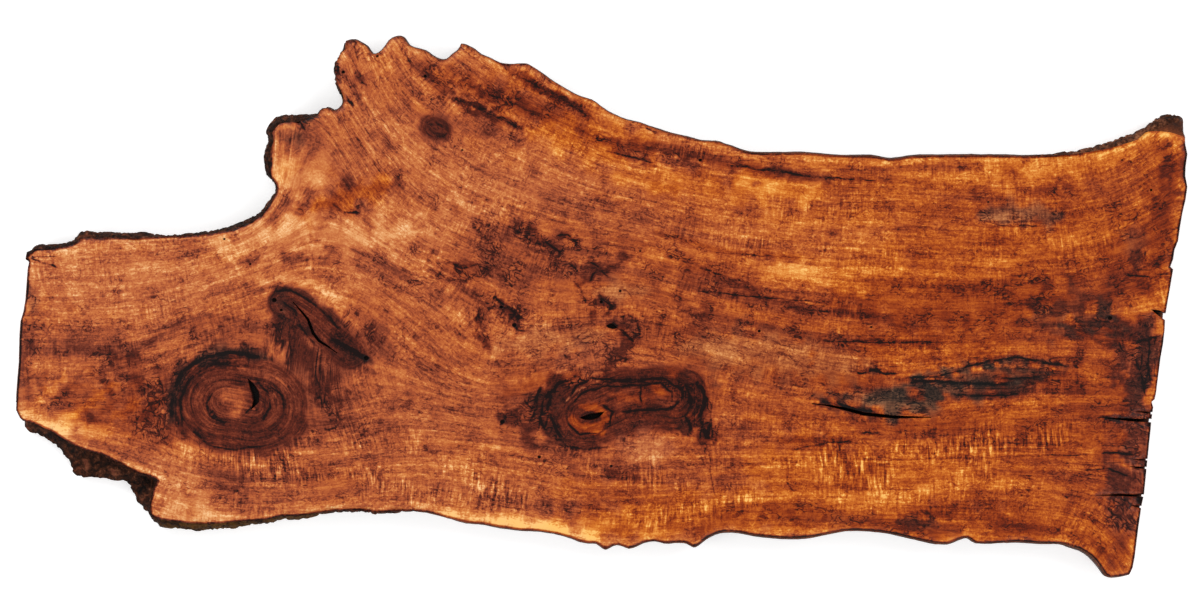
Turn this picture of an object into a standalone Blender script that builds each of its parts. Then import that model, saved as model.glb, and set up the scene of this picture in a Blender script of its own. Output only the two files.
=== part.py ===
"""Live-edge walnut slab, sawn along a forked trunk, modelled as one closed solid.

Metres, +Z up, +X along the slab. The origin lies under the middle of the slab's box, on the
plane that it rests on. The slab is a loft: rings of the same number of points follow the edge
at several depths, each ring set between the rim of the sanded top face and the silhouette by
the profile of that kind of edge. Open pits and face checks are then cut from the top.
"""
import bmesh
import bpy
from mathutils import Vector, noise

SLAB_LENGTH = 1.500
SLAB_THICKNESS = 0.050

# The picture's pixels between which the slab lies, and the size of one of them on the slab
PICTURE_LEFT, PICTURE_RIGHT = 15.2, 1187.8
PIXEL = SLAB_LENGTH / (PICTURE_RIGHT - PICTURE_LEFT)

# Depths of the rings below the top face, as shares of the thickness
LEVELS = (0.0, 0.07, 0.22, 0.42, 0.64, 0.86, 1.0)

# For each kind of edge: how far out each ring stands, from the rim (0) to the silhouette (1),
# then how far each is tucked back in, in metres, and how rough the surface is, in metres
SAWN, LIVE, BARK, LEDGE = "sawn", "live", "bark", "ledge"
REACH = {
    SAWN: (0.0, 1.0, 1.0, 1.0, 1.0, 1.0, 0.2),
    LIVE: (0.0, 0.6, 0.9, 1.0, 1.0, 1.0, 1.0),
    BARK: (0.0, 0.4, 0.8, 1.0, 1.0, 0.95, 0.8),
    LEDGE: (0.0, -0.10, -0.18, 0.42, 1.0, 0.98, 0.92),
}
TUCK = {
    SAWN: (0.0, 0.0, 0.0, 0.0, 0.0, 0.0, 0.0),
    LIVE: (0.0, 0.0, 0.0, 0.0, 0.0015, 0.005, 0.010),
    BARK: (0.0, 0.0, 0.0, 0.0, 0.001, 0.003, 0.008),
    LEDGE: (0.0, 0.0, 0.0, 0.0, 0.0, 0.002, 0.006),
}
ROUGHNESS = {SAWN: 0.0001, LIVE: 0.0009, BARK: 0.0022, LEDGE: 0.0025}
RELIEF_SIZE = 0.022
WANE_SIZE = 0.110

# The rings are tucked in less round a tip than along a straight edge, or they would cross there:
# how many stations to each side tell a tip, and how fast the tuck fades as it gets tighter
TIP_REACH, TIP_SHARPNESS = 4, 6.0

# Longest step between ring points, in pixels, on curved stretches and on sawn ones
CURVE_STEP, SAWN_STEP = 9.0, 14.0
# Least number of steps between two neighbouring points of a curved stretch
CURVE_SPLIT = 2

# The edge, clockwise from the nub at the neck's upper corner, in stretches: the kind of edge,
# the width of it seen beyond the top face at the stretch's two ends, and the silhouette's points
EDGE = (
    (BARK, 2.0, 4.0, ((24.4, 259), (23.6, 255), (25, 251.5), (30, 249.5), (31, 247), (33.6, 244.6))),
    (BARK, 5.0, 8.0, ((46, 243.4), (60, 242), (68, 239.4), (73, 236.5), (77, 232.5), (84, 230))),
    (BARK, 7.0, 6.5, ((100, 230.6), (120, 231), (140, 231.4))),
    (BARK, 3.5, 5.5, ((158, 233), (190, 231.6), (210, 229.4), (222, 227), (232, 224.5), (241, 220.5),
                      (250, 216.5), (257, 212))),
    (BARK, 4.5, 3.0, ((263, 205), (270, 196), (274, 188), (272, 182))),
    (BARK, 3.5, 8.5, ((267, 178), (264, 172), (262.4, 165))),
    (BARK, 8.0, 9.0, ((262.4, 155), (263.6, 145), (265.6, 140), (264, 134), (264.4, 129), (268, 123),
                      (274, 117), (282, 113.6))),
    (BARK, 8.0, 3.0, ((300, 112.6), (309, 112.4), (316.6, 113))),
    (LIVE, 2.0, 2.5, ((319, 109), (325, 106), (330, 106.6), (334, 108.6), (338, 106.6), (341.6, 102),
                      (341, 97))),
    (BARK, 3.0, 3.5, ((338, 91), (334, 84), (332.6, 77), (332.4, 68), (334, 59), (338, 51), (342, 47))),
    (LIVE, 2.0, 2.0, ((344, 41), (348, 38.6), (355, 38), (360, 40), (368, 45), (373, 52), (378, 51),
                      (383, 46), (388, 39), (394, 35.4), (400, 34.6), (405, 36.6), (410, 43.4),
                      (416, 46), (426, 49), (433, 54), (440, 57.4), (446, 57.6), (451, 53),
                      (457, 48.6), (460, 43.4), (462, 42.2), (468, 43.6), (476, 48), (482, 53))),
    (LIVE, 1.5, 1.5, ((492, 57), (500, 61), (510, 62.6), (524, 62), (530, 63.6), (540, 70), (550, 77.4),
                      (561.7, 84.8), (572.6, 91.3), (581.3, 95), (592, 98.3), (600, 103.7),
                      (608.5, 110), (618, 114.6), (627, 118.3), (640, 121), (648.7, 124.3))),
    (LIVE, 1.8, 2.5, ((661.7, 128.7), (672.6, 132), (687.8, 135.2), (701, 139), (716, 139.6), (725, 142.2),
                      (733.5, 145), (742, 148.3), (751, 150.2), (764, 151), (801, 151), (822.6, 152.2),
                      (844.3, 153.5), (872.6, 153.9), (884, 155.9), (892.6, 156.7), (903.5, 155.4),
                      (914, 153.7), (947, 153), (990, 153), (1029.6, 153.7))),
    (BARK, 3.0, 9.0, ((1049, 152.4), (1066.5, 150.4), (1081.7, 147.8), (1099, 143.9), (1110, 140.7),
                      (1121, 136.3), (1134, 131))),
    (SAWN, 0.8, 0.8, ((1187.8, 153.7), (1186, 166.7), (1185.7, 175.4), (1187.8, 186.3), (1186, 199.3),
                      (1182.8, 212.4), (1180.6, 225.4), (1178.5, 240.6), (1175, 249.3), (1173.5, 259),
                      (1170.7, 266.4), (1173.6, 269), (1172.5, 275.5), (1169, 296), (1166.8, 308.4))),
    (SAWN, 0.6, 0.6, ((1166, 313.5), (1165.5, 319.5), (1165, 330), (1163.4, 343.6), (1161, 357),
                      (1158.9, 373), (1156.6, 391.4), (1155, 399), (1152, 401.6), (1153.6, 407))),
    (SAWN, 0.6, 0.6, ((1152.6, 414), (1151.6, 422), (1150.9, 430), (1149, 448), (1148, 457.6),
                      (1147, 468), (1145.8, 480), (1144.4, 493.8), (1142, 505))),
    (SAWN, 0.8, 0.8, ((1139, 525.5), (1137, 541), (1135, 557), (1133, 567.5))),
    (LIVE, 2.0, 3.0, ((1131, 574.3), (1128, 576), (1121, 577.7), (1112, 578.5), (1107.7, 577.7),
                      (1104, 575.5), (1101, 571), (1096, 564), (1089.5, 557), (1080.5, 551.4),
                      (1073.6, 549.3), (1066.8, 547))),
    (LIVE, 2.0, 2.5, ((1060, 545), (1038.6, 544.3), (1018, 543), (1004.5, 543.6), (991, 544.5),
                      (976, 544.3), (969, 539.8), (964.8, 539), (955.7, 542), (947.7, 544.8),
                      (936, 544.5), (922.7, 542), (909, 539), (897.7, 536.4), (886, 534),
                      (872.7, 532.7), (859, 531.8), (845.5, 532.3), (834, 534), (822.7, 536.4),
                      (811, 538.6), (798, 539.8), (782, 539.8), (764, 538), (750.5, 536.4),
                      (739, 534), (725, 533.4), (716, 535.5), (707, 540.5))),
    (LIVE, 2.0, 2.0, ((699, 546), (693.6, 548.2), (686.8, 544.5), (680, 543.4), (673, 544), (664, 544.5),
                      (655, 542.3), (643.6, 543.9), (636.8, 547.3), (629, 549.5), (623, 547.3),
                      (617.5, 546), (611.8, 547.7), (606, 550.5), (601.6, 548.4), (596, 544.5),
                      (589, 544.3), (580, 542.7), (571, 539.3), (558.4, 535.5), (548, 533.6),
                      (537, 532), (521, 531.4), (500, 528.6), (484, 525.5), (465.6, 523.6),
                      (454, 520.6), (440, 517), (426, 513.4), (409.8, 512.4))),
    (BARK, 2.5, 5.0, ((393.5, 513.6), (375, 514.5), (361, 513), (344.7, 513), (333, 514), (314.4, 516.9),
                      (298, 519.7), (280.7, 520), (272.6, 523), (256, 525))),
    (BARK, 7.0, 9.0, ((237.7, 528), (219, 530.6), (200.5, 531.3), (182, 530.6), (163, 528.5))),
    (SAWN, 1.0, 1.0, ((19, 418), (16, 412), (15.2, 405), (16, 391), (17, 377), (18.4, 361), (18.6, 349),
                      (19, 335), (20, 321), (23, 311), (25, 299), (26, 285), (27, 271), (28, 262))),
)

# Stretches whose rim doesn't run beside the silhouette: each point of one with its point of the
# other. The first is the upper right corner, the second the undercut hollow at the lower left.
CORNER = (
    ((1145, 126.5), (1145, 132.5)), ((1153.5, 120), (1152, 131)), ((1162, 114.6), (1159, 131)),
    ((1170, 112.8), (1166, 131.5)), ((1178.5, 113.9), (1172, 132.5)), ((1184.3, 116.7), (1177, 134)),
    ((1186, 121), (1180, 135)), ((1186.3, 128), (1183, 136)), ((1186.3, 134), (1185, 138)),
    ((1185.7, 142.8), (1184.9, 144)),
)
HOLLOW = (
    ((155, 525), (156, 518)), ((150, 521), (152, 516)), ((147, 517), (150.5, 511.5)),
    ((140, 509), (150, 505)), ((134, 502), (151, 499)), ((129, 492), (153, 494)),
    ((124, 484.6), (153.5, 489)), ((121, 481.6), (155.5, 485)), ((112, 480.6), (157.6, 481)),
    ((100, 479.4), (155, 477.4)), ((82, 478.6), (138, 472.6)), ((74, 476.6), (118, 462)),
    ((69, 472), (102, 454)), ((65, 462), (86, 450)), ((60, 456), (74, 444.5)),
    ((55, 450), (66, 440)), ((49, 443), (58, 435)), ((43, 439), (51, 430.5)),
    ((37, 435.4), (44, 427.5)), ((32, 435), (38, 424.5)), ((25, 432), (30, 421.5)),
    ((21.6, 427), (23, 420.5)),
)
# The silhouette's points that come just before the two stretches above
BEFORE_CORNER, BEFORE_HOLLOW = (1134, 131), (163, 528.5)

# Pits and checks in the top face: each has its middle line, its widest width in pixels, and its depth
PITS = {
    "long_check": (((812, 403.5), (828, 405.5), (843, 408.5), (864, 414), (894, 417), (931, 417.4)),
                   3.4, 0.014),
    "upper_knot_check": (((293, 302), (301, 311), (308, 319.5), (313, 333), (319, 341), (328, 346.5),
                          (337, 353)), 3.0, 0.012),
    "ringed_knot_void": (((246.5, 377), (251, 384), (255.5, 393), (256, 401), (251.5, 410)), 9.0, 0.009),
    "eye_knot_pupil": (((578, 418), (586, 417.5), (596, 416.5), (605, 411.5)), 6.5, 0.010),
    # Those of the sawn end are open there: each line's middle point is on the silhouette
    "end_notch": (((1151, 309), (1158, 312), (1166, 316.5), (1174, 321), (1181, 324)), 6.5, 0.030),
    "end_check_1": (((1134, 411.2), (1143, 411.8), (1152.8, 413), (1162, 414), (1171, 415)), 2.2, 0.020),
    "end_check_2": (((1101, 417.2), (1130, 419.6), (1152, 420.4), (1174, 421.5), (1203, 423)), 3.6, 0.030),
    "end_check_3": (((1131, 458.9), (1140, 459.4), (1148, 459.4), (1156, 459.6), (1165, 459.8)), 1.8, 0.020),
    "end_check_4": (((1128, 466), (1138, 467), (1147.3, 467.8), (1157, 468.6), (1167, 469.5)), 2.4, 0.022),
    "end_check_5": (((1091, 495.2), (1118, 494.6), (1144, 495.5), (1168, 496.5), (1195, 497.5)), 2.6, 0.026),
    "end_check_6": (((1130, 504.8), (1136, 505.8), (1141.7, 506.9), (1148, 508), (1154, 509)), 2.4, 0.020),
}
# How far each pit's cutter stands above the top face
CUTTER_HEADROOM = 0.004

WOOD_COLOUR, WOOD_ROUGHNESS = (0.38, 0.13, 0.035, 1.0), 0.38
BARK_COLOUR, BARK_ROUGHNESS = (0.030, 0.017, 0.010, 1.0), 0.85


class Station:
    """One place along the edge: its silhouette and rim in pixels, and its kind of edge."""

    def __init__(self, outer, rim, kind):
        self.outer = Vector(outer)
        self.rim = Vector(rim)
        self.kind = kind


def clear_scene():
    """Remove every object of the scene."""
    for item in list(bpy.data.objects):
        bpy.data.objects.remove(item, do_unlink=True)


def make_material(name, colour, roughness):
    """Make a Principled material."""
    material = bpy.data.materials.new(name)
    material.use_nodes = True
    shader = material.node_tree.nodes["Principled BSDF"]
    shader.inputs["Base Color"].default_value = colour
    shader.inputs["Roughness"].default_value = roughness
    shader.inputs["Metallic"].default_value = 0.0
    material.diffuse_color = colour
    return material


def on_slab(point):
    """Turn a picture pixel into metres on the slab, before it is centred."""
    return Vector((point[0] * PIXEL, -point[1] * PIXEL))


def edge_points():
    """List the silhouette's points in order, each with its edge width or its own rim point."""
    points = []
    for kind, first, last, stretch in EDGE:
        share = 1.0 / (len(stretch) - 1)
        for index, place in enumerate(stretch):
            points.append((kind, place, first + (last - first) * index * share, None))
            if place == BEFORE_CORNER:
                points += [(BARK, outer, 0.0, rim) for outer, rim in CORNER]
            if place == BEFORE_HOLLOW:
                points += [(LEDGE, outer, 0.0, rim) for outer, rim in HOLLOW]
    return points


def outward(before, after):
    """Give the outward normal of a clockwise outline, whose Y runs down, from two neighbours."""
    along = (Vector(after) - Vector(before)).normalized()
    return Vector((along.y, -along.x))


def control_stations():
    """Set a station at every point of the silhouette, with its rim inside it."""
    points = edge_points()
    stations = []
    for index, (kind, place, width, rim) in enumerate(points):
        before = points[index - 1][1]
        after = points[(index + 1) % len(points)][1]
        if rim is None:
            rim = Vector(place) - outward(before, after) * width
        stations.append(Station(place, rim, kind))
    return stations


def spline(knots, share):
    """Read a Catmull-Rom curve through four points, at a share of the way along its middle span."""
    first, start, end, last = knots
    return 0.5 * (2.0 * start + (end - first) * share
                  + (2.0 * first - 5.0 * start + 4.0 * end - last) * share ** 2
                  + (3.0 * start - first - 3.0 * end + last) * share ** 3)


def fine_stations(controls):
    """Fill in stations between the control stations, curved on grown edges, straight on sawn ones."""
    count = len(controls)
    stations = []
    for index in range(count):
        around = [controls[(index + step) % count] for step in (-1, 0, 1, 2)]
        start, end = around[1], around[2]
        straight = SAWN in (start.kind, end.kind)
        span = (end.outer - start.outer).length
        steps = 1 + int(span / SAWN_STEP) if straight else max(CURVE_SPLIT, 1 + int(span / CURVE_STEP))
        for step in range(steps):
            share = step / steps
            if straight:
                outer, rim = start.outer.lerp(end.outer, share), start.rim.lerp(end.rim, share)
            else:
                outer = spline([item.outer for item in around], share)
                rim = spline([item.rim for item in around], share)
            stations.append(Station(outer, rim, start.kind))
    return stations


def straightness(stations, index):
    """Compare the chord across a stretch of the edge with the way along it: 1 is straight."""
    reach = range(index - TIP_REACH, index + TIP_REACH)
    count = len(stations)
    steps = [stations[(place + 1) % count].outer - stations[place % count].outer for place in reach]
    chord = sum(steps, Vector((0.0, 0.0)))
    return chord.length / sum(step.length for step in steps)


def outward_at(stations, index, spread):
    """Give the edge's outward normal on the slab, read between two stations a spread away."""
    count = len(stations)
    before = stations[(index - spread) % count].outer
    after = stations[(index + spread) % count].outer
    normal = outward(before, after)
    return Vector((normal.x, -normal.y))


def ring_points(stations, level):
    """Work out one ring of the loft: a point for each station, at one depth below the top face."""
    height = SLAB_THICKNESS * (1.0 - LEVELS[level])
    ring = []
    for index, here in enumerate(stations):
        outer, rim = on_slab(here.outer), on_slab(here.rim)
        wane = 1.0 + noise.noise(Vector((outer.x, outer.y, 0.0)) / WANE_SIZE)
        wane *= straightness(stations, index) ** TIP_SHARPNESS
        rough = noise.noise(Vector((outer.x, outer.y, height)) / RELIEF_SIZE) if level else 0.0
        place = rim.lerp(outer, REACH[here.kind][level])
        place += outward_at(stations, index, 1) * ROUGHNESS[here.kind] * rough
        place -= outward_at(stations, index, TIP_REACH) * TUCK[here.kind][level] * wane
        ring.append(Vector((place.x, place.y, height)))
    return ring


def loft_slab(stations):
    """Build the slab from its top face down, ring by ring, to its underside."""
    shape = bmesh.new()
    rim = [shape.verts.new(place) for place in ring_points(stations, 0)]
    shape.faces.new(rim)
    upper = rim
    for level in range(1, len(LEVELS)):
        lower = [shape.verts.new(place) for place in ring_points(stations, level)]
        add_band(shape, upper, lower, stations)
        upper = lower
    shape.faces.new(upper)
    bmesh.ops.recalc_face_normals(shape, faces=shape.faces)
    return shape


def add_band(shape, upper, lower, stations):
    """Join two rings with a band of faces, bark faces taking the second material."""
    count = len(upper)
    for index in range(count):
        following = (index + 1) % count
        face = shape.faces.new((upper[index], lower[index], lower[following], upper[following]))
        face.material_index = int(stations[index].kind in (BARK, LEDGE))
        face.smooth = stations[index].kind != SAWN


def centre_on_box(shape):
    """Move the slab so that the origin is under the middle of its box, and return the move."""
    xs = [vertex.co.x for vertex in shape.verts]
    ys = [vertex.co.y for vertex in shape.verts]
    move = Vector((-(min(xs) + max(xs)) / 2.0, -(min(ys) + max(ys)) / 2.0, 0.0))
    bmesh.ops.translate(shape, verts=shape.verts, vec=move)
    return move


def make_object(name, shape, collection):
    """Put a bmesh into a new object of a collection."""
    mesh = bpy.data.meshes.new(name)
    shape.to_mesh(mesh)
    shape.free()
    item = bpy.data.objects.new(name, mesh)
    collection.objects.link(item)
    return item


def pit_outline(line, width):
    """Trace round a pit: out along one side of its middle line and back along the other."""
    places = [on_slab(point) for point in line]
    last = len(places) - 1
    left, right = [], []
    for index in range(1, last):
        along = (places[index + 1] - places[index - 1]).normalized()
        side = Vector((-along.y, along.x))
        fullness = 1.0 - abs(2.0 * index / last - 1.0) ** 2
        half = 0.5 * width * PIXEL * fullness
        left.append(places[index] + side * half)
        right.append(places[index] - side * half)
    return [places[0]] + left + [places[last]] + right[::-1]


def make_pit_cutter(name, line, width, depth, move, collection):
    """Make the block that cuts one pit: its outline, extruded up from the pit's floor."""
    shape = bmesh.new()
    floor = SLAB_THICKNESS - depth
    corners = [shape.verts.new((place.x, place.y, floor)) for place in pit_outline(line, width)]
    base = shape.faces.new(corners)
    swept = bmesh.ops.extrude_face_region(shape, geom=[base])
    raised = [item for item in swept["geom"] if isinstance(item, bmesh.types.BMVert)]
    bmesh.ops.translate(shape, verts=raised, vec=(0.0, 0.0, depth + CUTTER_HEADROOM))
    bmesh.ops.translate(shape, verts=shape.verts, vec=move)
    bmesh.ops.recalc_face_normals(shape, faces=shape.faces)
    cutter = make_object(name, shape, collection)
    cutter.hide_render = True
    cutter.display_type = "WIRE"
    return cutter


def main():
    """Build the slab and cut its pits."""
    clear_scene()
    parts = bpy.data.collections.new("walnut_wood_slab")
    cutters = bpy.data.collections.new("slab_cutters")
    for collection in (parts, cutters):
        bpy.context.scene.collection.children.link(collection)

    shape = loft_slab(fine_stations(control_stations()))
    move = centre_on_box(shape)
    slab = make_object("walnut_slab", shape, parts)
    slab.data.materials.append(make_material("oiled_walnut", WOOD_COLOUR, WOOD_ROUGHNESS))
    slab.data.materials.append(make_material("walnut_bark", BARK_COLOUR, BARK_ROUGHNESS))

    for name, (line, width, depth) in PITS.items():
        make_pit_cutter(name, line, width, depth, move, cutters)
    cut = slab.modifiers.new("pits", "BOOLEAN")
    cut.operation = "DIFFERENCE"
    cut.solver = "EXACT"
    cut.operand_type = "COLLECTION"
    cut.collection = cutters


main()
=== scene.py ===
"""Looks for the live-edge walnut slab: its oiled face, grown edge, bark, sawn ends and studio.

The slab is seen from straight above. Its markings are drawn as paths in the pixels of
the 1200 x 600 picture, and one class turns those into metres on the slab.
"""
import logging
import math
from dataclasses import dataclass, field
from enum import Enum, IntEnum

import bmesh
import bpy
import numpy as np
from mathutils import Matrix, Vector, noise
from mathutils.kdtree import KDTree

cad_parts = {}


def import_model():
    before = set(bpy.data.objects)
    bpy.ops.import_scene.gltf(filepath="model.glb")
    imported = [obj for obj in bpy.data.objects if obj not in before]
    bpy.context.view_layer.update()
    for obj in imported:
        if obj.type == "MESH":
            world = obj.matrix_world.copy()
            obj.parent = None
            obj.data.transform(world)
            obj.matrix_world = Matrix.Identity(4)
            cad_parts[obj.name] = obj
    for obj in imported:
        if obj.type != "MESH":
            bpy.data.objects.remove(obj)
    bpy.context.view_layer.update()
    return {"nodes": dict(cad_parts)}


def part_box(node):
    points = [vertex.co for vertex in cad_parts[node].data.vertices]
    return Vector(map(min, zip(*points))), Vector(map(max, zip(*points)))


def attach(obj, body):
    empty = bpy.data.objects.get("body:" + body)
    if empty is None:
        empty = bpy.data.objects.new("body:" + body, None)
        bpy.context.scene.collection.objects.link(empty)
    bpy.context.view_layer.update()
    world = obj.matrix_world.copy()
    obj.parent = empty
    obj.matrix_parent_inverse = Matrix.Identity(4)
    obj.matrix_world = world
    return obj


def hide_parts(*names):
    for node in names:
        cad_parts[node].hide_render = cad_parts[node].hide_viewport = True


LOG = logging.getLogger("walnut_slab")

NODE = "walnut_slab"
BODY = "root"
PIECE = "live_edge_slab"

# How near to a plane a vertex counts as on it, in metres
TOUCH = 1e-5
# The least length to divide by
TINY = 1e-9

Path = tuple[tuple[float, float], ...]


class Surface(IntEnum):
    """The finishes of the slab, in the order of its material slots."""

    FACE = 0
    GROWN_EDGE = 1
    BARK = 2
    SAWN_END = 3
    UNDERSIDE = 4


class Layer(Enum):
    """The values that the slab carries at its vertices, for its finishes to read."""

    GRAIN = "grain"
    TONE = "tone"
    KNOT = "knot"
    LINE = "line"
    EDGE = "edge"
    # How far inside a pit, where the face is painted near black as shade
    SHADED_PIT = "shaded_pit"
    CHECK = "check"


def linear(code: str) -> tuple[float, float, float, float]:
    """Turn an sRGB hex colour into Blender's linear colour.

    Args:
        code: The colour as "#rrggbb".

    Returns:
        Red, green, blue and an alpha of 1, in linear light.
    """
    parts = [int(code[place:place + 2], 16) / 255.0 for place in (1, 3, 5)]
    red, green, blue = (part / 12.92 if part <= 0.04045 else ((part + 0.055) / 1.055) ** 2.4
                        for part in parts)
    return red, green, blue, 1.0


def smooth_step(values: np.ndarray, start: float, end: float) -> np.ndarray:
    """Rise smoothly from 0 at start to 1 at end, or fall where start is above end.

    Args:
        values: The values to compare.
        start: The value that gives 0.
        end: The value that gives 1.

    Returns:
        A share from 0 to 1 for each value.
    """
    share = np.clip((values - start) / (end - start), 0.0, 1.0)
    return share * share * (3.0 - 2.0 * share)


@dataclass(frozen=True)
class Picture:
    """The picture's pixels on the slab's box, seen from straight above.

    Args:
        low: The lowest corner of the slab's box, in metres.
        high: Its highest corner.
        left: The column of the slab's left end, in pixels.
        right: The column of its right end.
        top: The row of its highest point.
        middle: The picture's middle, in pixels.
        width: The picture's width, in pixels.
    """

    low: Vector
    high: Vector
    left: float = 15.2
    right: float = 1187.8
    top: float = 34.6
    middle: tuple[float, float] = (600.0, 300.0)
    width: float = 1200.0

    @property
    def pixel(self) -> float:
        """Give the size of a picture pixel on the slab, in metres."""
        return (self.high.x - self.low.x) / (self.right - self.left)

    def metres(self, point: tuple[float, float]) -> tuple[float, float]:
        """Turn a pixel into a place on the slab."""
        return (self.low.x + (point[0] - self.left) * self.pixel,
                self.high.y - (point[1] - self.top) * self.pixel)

    def pixels(self, places: np.ndarray) -> np.ndarray:
        """Turn places on the slab, in rows, into pixels."""
        return np.stack(((places[:, 0] - self.low.x) / self.pixel + self.left,
                         (self.high.y - places[:, 1]) / self.pixel + self.top), axis=1)


@dataclass(frozen=True)
class Nearest:
    """Where some places lie beside a path: how far away, on which side, and how far along it.

    Args:
        distance: The distance to the path from each place, in pixels.
        side: The same with its sign, plus on the right-hand side.
        share: How far along the path its nearest point is, from 0 to 1.
    """

    distance: np.ndarray
    side: np.ndarray
    share: np.ndarray


def nearest_on_path(places: np.ndarray, path: Path, squeeze: float = 1.0) -> Nearest:
    """Find the nearest point of a path from each place.

    Args:
        places: The places in rows, in pixels.
        path: The path's points, in pixels.
        squeeze: How much more a step across the picture counts than one down it.

    Returns:
        The distances, sides and shares of the way along.
    """
    scale = np.array((squeeze, 1.0))
    knots = np.array(path, dtype=float) * scale
    spots = places * scale
    lengths = np.hypot(*np.diff(knots, axis=0).T)
    starts = np.concatenate(((0.0,), np.cumsum(lengths)))
    best = np.full(len(spots), math.inf)
    side = np.zeros(len(spots))
    share = np.zeros(len(spots))
    for index, length in enumerate(lengths):
        along = (knots[index + 1] - knots[index]) / max(length, TINY)
        away = spots - knots[index]
        reach = np.clip(away @ along, 0.0, length)
        gap = away - reach[:, None] * along
        distance = np.hypot(gap[:, 0], gap[:, 1])
        closer = distance < best
        turned = along[0] * away[:, 1] - along[1] * away[:, 0]
        best[closer] = distance[closer]
        side[closer] = (np.sign(turned) * distance)[closer]
        share[closer] = ((starts[index] + reach) / max(starts[-1], TINY))[closer]
    return Nearest(best, side, share)


@dataclass(frozen=True)
class WaveNoise:
    """A soft noise over the picture, made of plane waves.

    Args:
        size: The size of its patches, in pixels.
        seed: The seed of its waves.
        waves: How many waves there are.
    """

    size: float
    seed: int
    waves: int = 12

    def at(self, places: np.ndarray) -> np.ndarray:
        """Read the noise, from about -1 to 1.

        Args:
            places: The places in rows, in pixels.

        Returns:
            A value for each place.
        """
        rng = np.random.default_rng(self.seed)
        total = np.zeros(len(places))
        for _ in range(self.waves):
            turn, phase = rng.uniform(0.0, math.tau, 2)
            rate = rng.uniform(0.6, 1.5) * math.pi / self.size
            total += np.sin(rate * (places @ np.array((math.cos(turn), math.sin(turn)))) + phase)
        return total / math.sqrt(self.waves)


@dataclass(frozen=True)
class Stroke:
    """A soft mark on the face, lighter or darker than the wood round it.

    Args:
        path: Its middle line, in pixels.
        half: Half its width, in pixels.
        light: How much it lifts the lightness, or lowers it where negative.
        warm: How much it turns the wood from pinkish brown to orange.
        grey: How much colour it takes out.
        ragged: How much its edges wander, as a share of its half width.
    """

    path: Path
    half: float
    light: float = 0.0
    warm: float = 0.0
    grey: float = 0.0
    ragged: float = 0.45


@dataclass(frozen=True)
class Crack:
    """A fine dark line in the face, too narrow for the mesh to carry.

    Args:
        path: The line, in pixels.
        half: Half its width, in pixels.
        depth: How dark it is, from 0 to 1.
    """

    path: Path
    half: float
    depth: float


@dataclass(frozen=True)
class Pit:
    """A hollow in the face with real depth.

    Args:
        path: Its middle line in pixels, or a single point for a round hole.
        half: Half its widest width, in pixels.
        depth: How deep it is, in metres.
    """

    path: Path
    half: float
    depth: float

    @property
    def line(self) -> Path:
        """Give the path, with a second point close by where it has only one."""
        (column, row), *others = self.path
        return self.path if others else ((column, row), (column + 0.5, row))


@dataclass(frozen=True)
class Knot:
    """The wood of a grown-over branch, whose rings follow its spine.

    Args:
        spine: The line that the rings go round, in pixels.
        reach: How far the rings go from it, in pixels.
        light: The lightness of its wood.
        squeeze: How much more a pixel across counts than one down.
        fade: The width over which it fades into the face, in pixels.
    """

    spine: Path
    reach: float
    light: float
    squeeze: float = 1.0
    fade: float = 10.0


# How the grain runs, as lines drawn along it from the neck and the lobes to the right-hand end
GRAIN_LINES: tuple[Path, ...] = (
    ((30, 255), (110, 249), (200, 243), (250, 227), (274, 200), (284, 165), (284, 135)),
    ((30, 285), (110, 280), (200, 272), (270, 250), (305, 215), (318, 180)),
    ((30, 320), (90, 330), (150, 326), (200, 310), (250, 290), (300, 272), (345, 285), (390, 320)),
    ((25, 360), (80, 360), (140, 352), (185, 335), (240, 328), (270, 332)),
    ((25, 400), (80, 395), (130, 390), (165, 385)),
    ((60, 430), (120, 440), (180, 455), (250, 465), (330, 452), (400, 430), (470, 425), (530, 430)),
    ((140, 480), (200, 500), (300, 505), (380, 500), (440, 505), (520, 522), (600, 540)),
    ((200, 480), (300, 482), (400, 472), (500, 480), (600, 495), (700, 495), (800, 490)),
    ((345, 50), (362, 90), (390, 130), (430, 170), (490, 205), (560, 230)),
    ((392, 45), (420, 85), (470, 125), (530, 155), (610, 190), (700, 208), (800, 218)),
    ((455, 55), (520, 100), (590, 135), (660, 152), (740, 166), (820, 180), (900, 182)),
    ((500, 68), (560, 100), (640, 135), (720, 150), (800, 158), (900, 162), (1000, 163), (1080, 160)),
    ((330, 130), (350, 170), (390, 210), (440, 240), (500, 262)),
    ((300, 240), (350, 250), (400, 280), (430, 320), (470, 360), (500, 380)),
    ((390, 250), (450, 275), (500, 300), (560, 310), (620, 305)),
    ((620, 220), (700, 248), (800, 260), (900, 268), (1000, 274), (1060, 276), (1120, 262), (1165, 240)),
    ((640, 255), (700, 278), (760, 295), (850, 312), (950, 318), (1040, 312), (1120, 300), (1160, 290)),
    ((640, 300), (720, 320), (800, 338), (900, 345), (1000, 340), (1080, 345), (1150, 350)),
    ((480, 385), (540, 372), (600, 358), (660, 360), (720, 378), (800, 398), (880, 412), (940, 416)),
    ((660, 330), (740, 345), (820, 362), (900, 375), (980, 365), (1050, 362), (1130, 372)),
    ((450, 445), (520, 455), (600, 462), (700, 455), (800, 446), (900, 440), (1000, 440), (1140, 432)),
    ((720, 420), (800, 425), (900, 425), (1000, 410), (1100, 405), (1150, 405)),
    ((700, 480), (800, 480), (900, 478), (1000, 470), (1090, 478), (1140, 500)),
    ((700, 525), (760, 520), (830, 522), (900, 528), (1000, 535), (1070, 540), (1100, 560), (1115, 575)),
    ((950, 500), (1020, 505), (1080, 520), (1110, 545), (1122, 570)),
    ((900, 200), (1000, 205), (1080, 200), (1140, 180), (1178, 150)),
    ((1000, 180), (1080, 175), (1130, 160), (1160, 138)),
)

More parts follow.
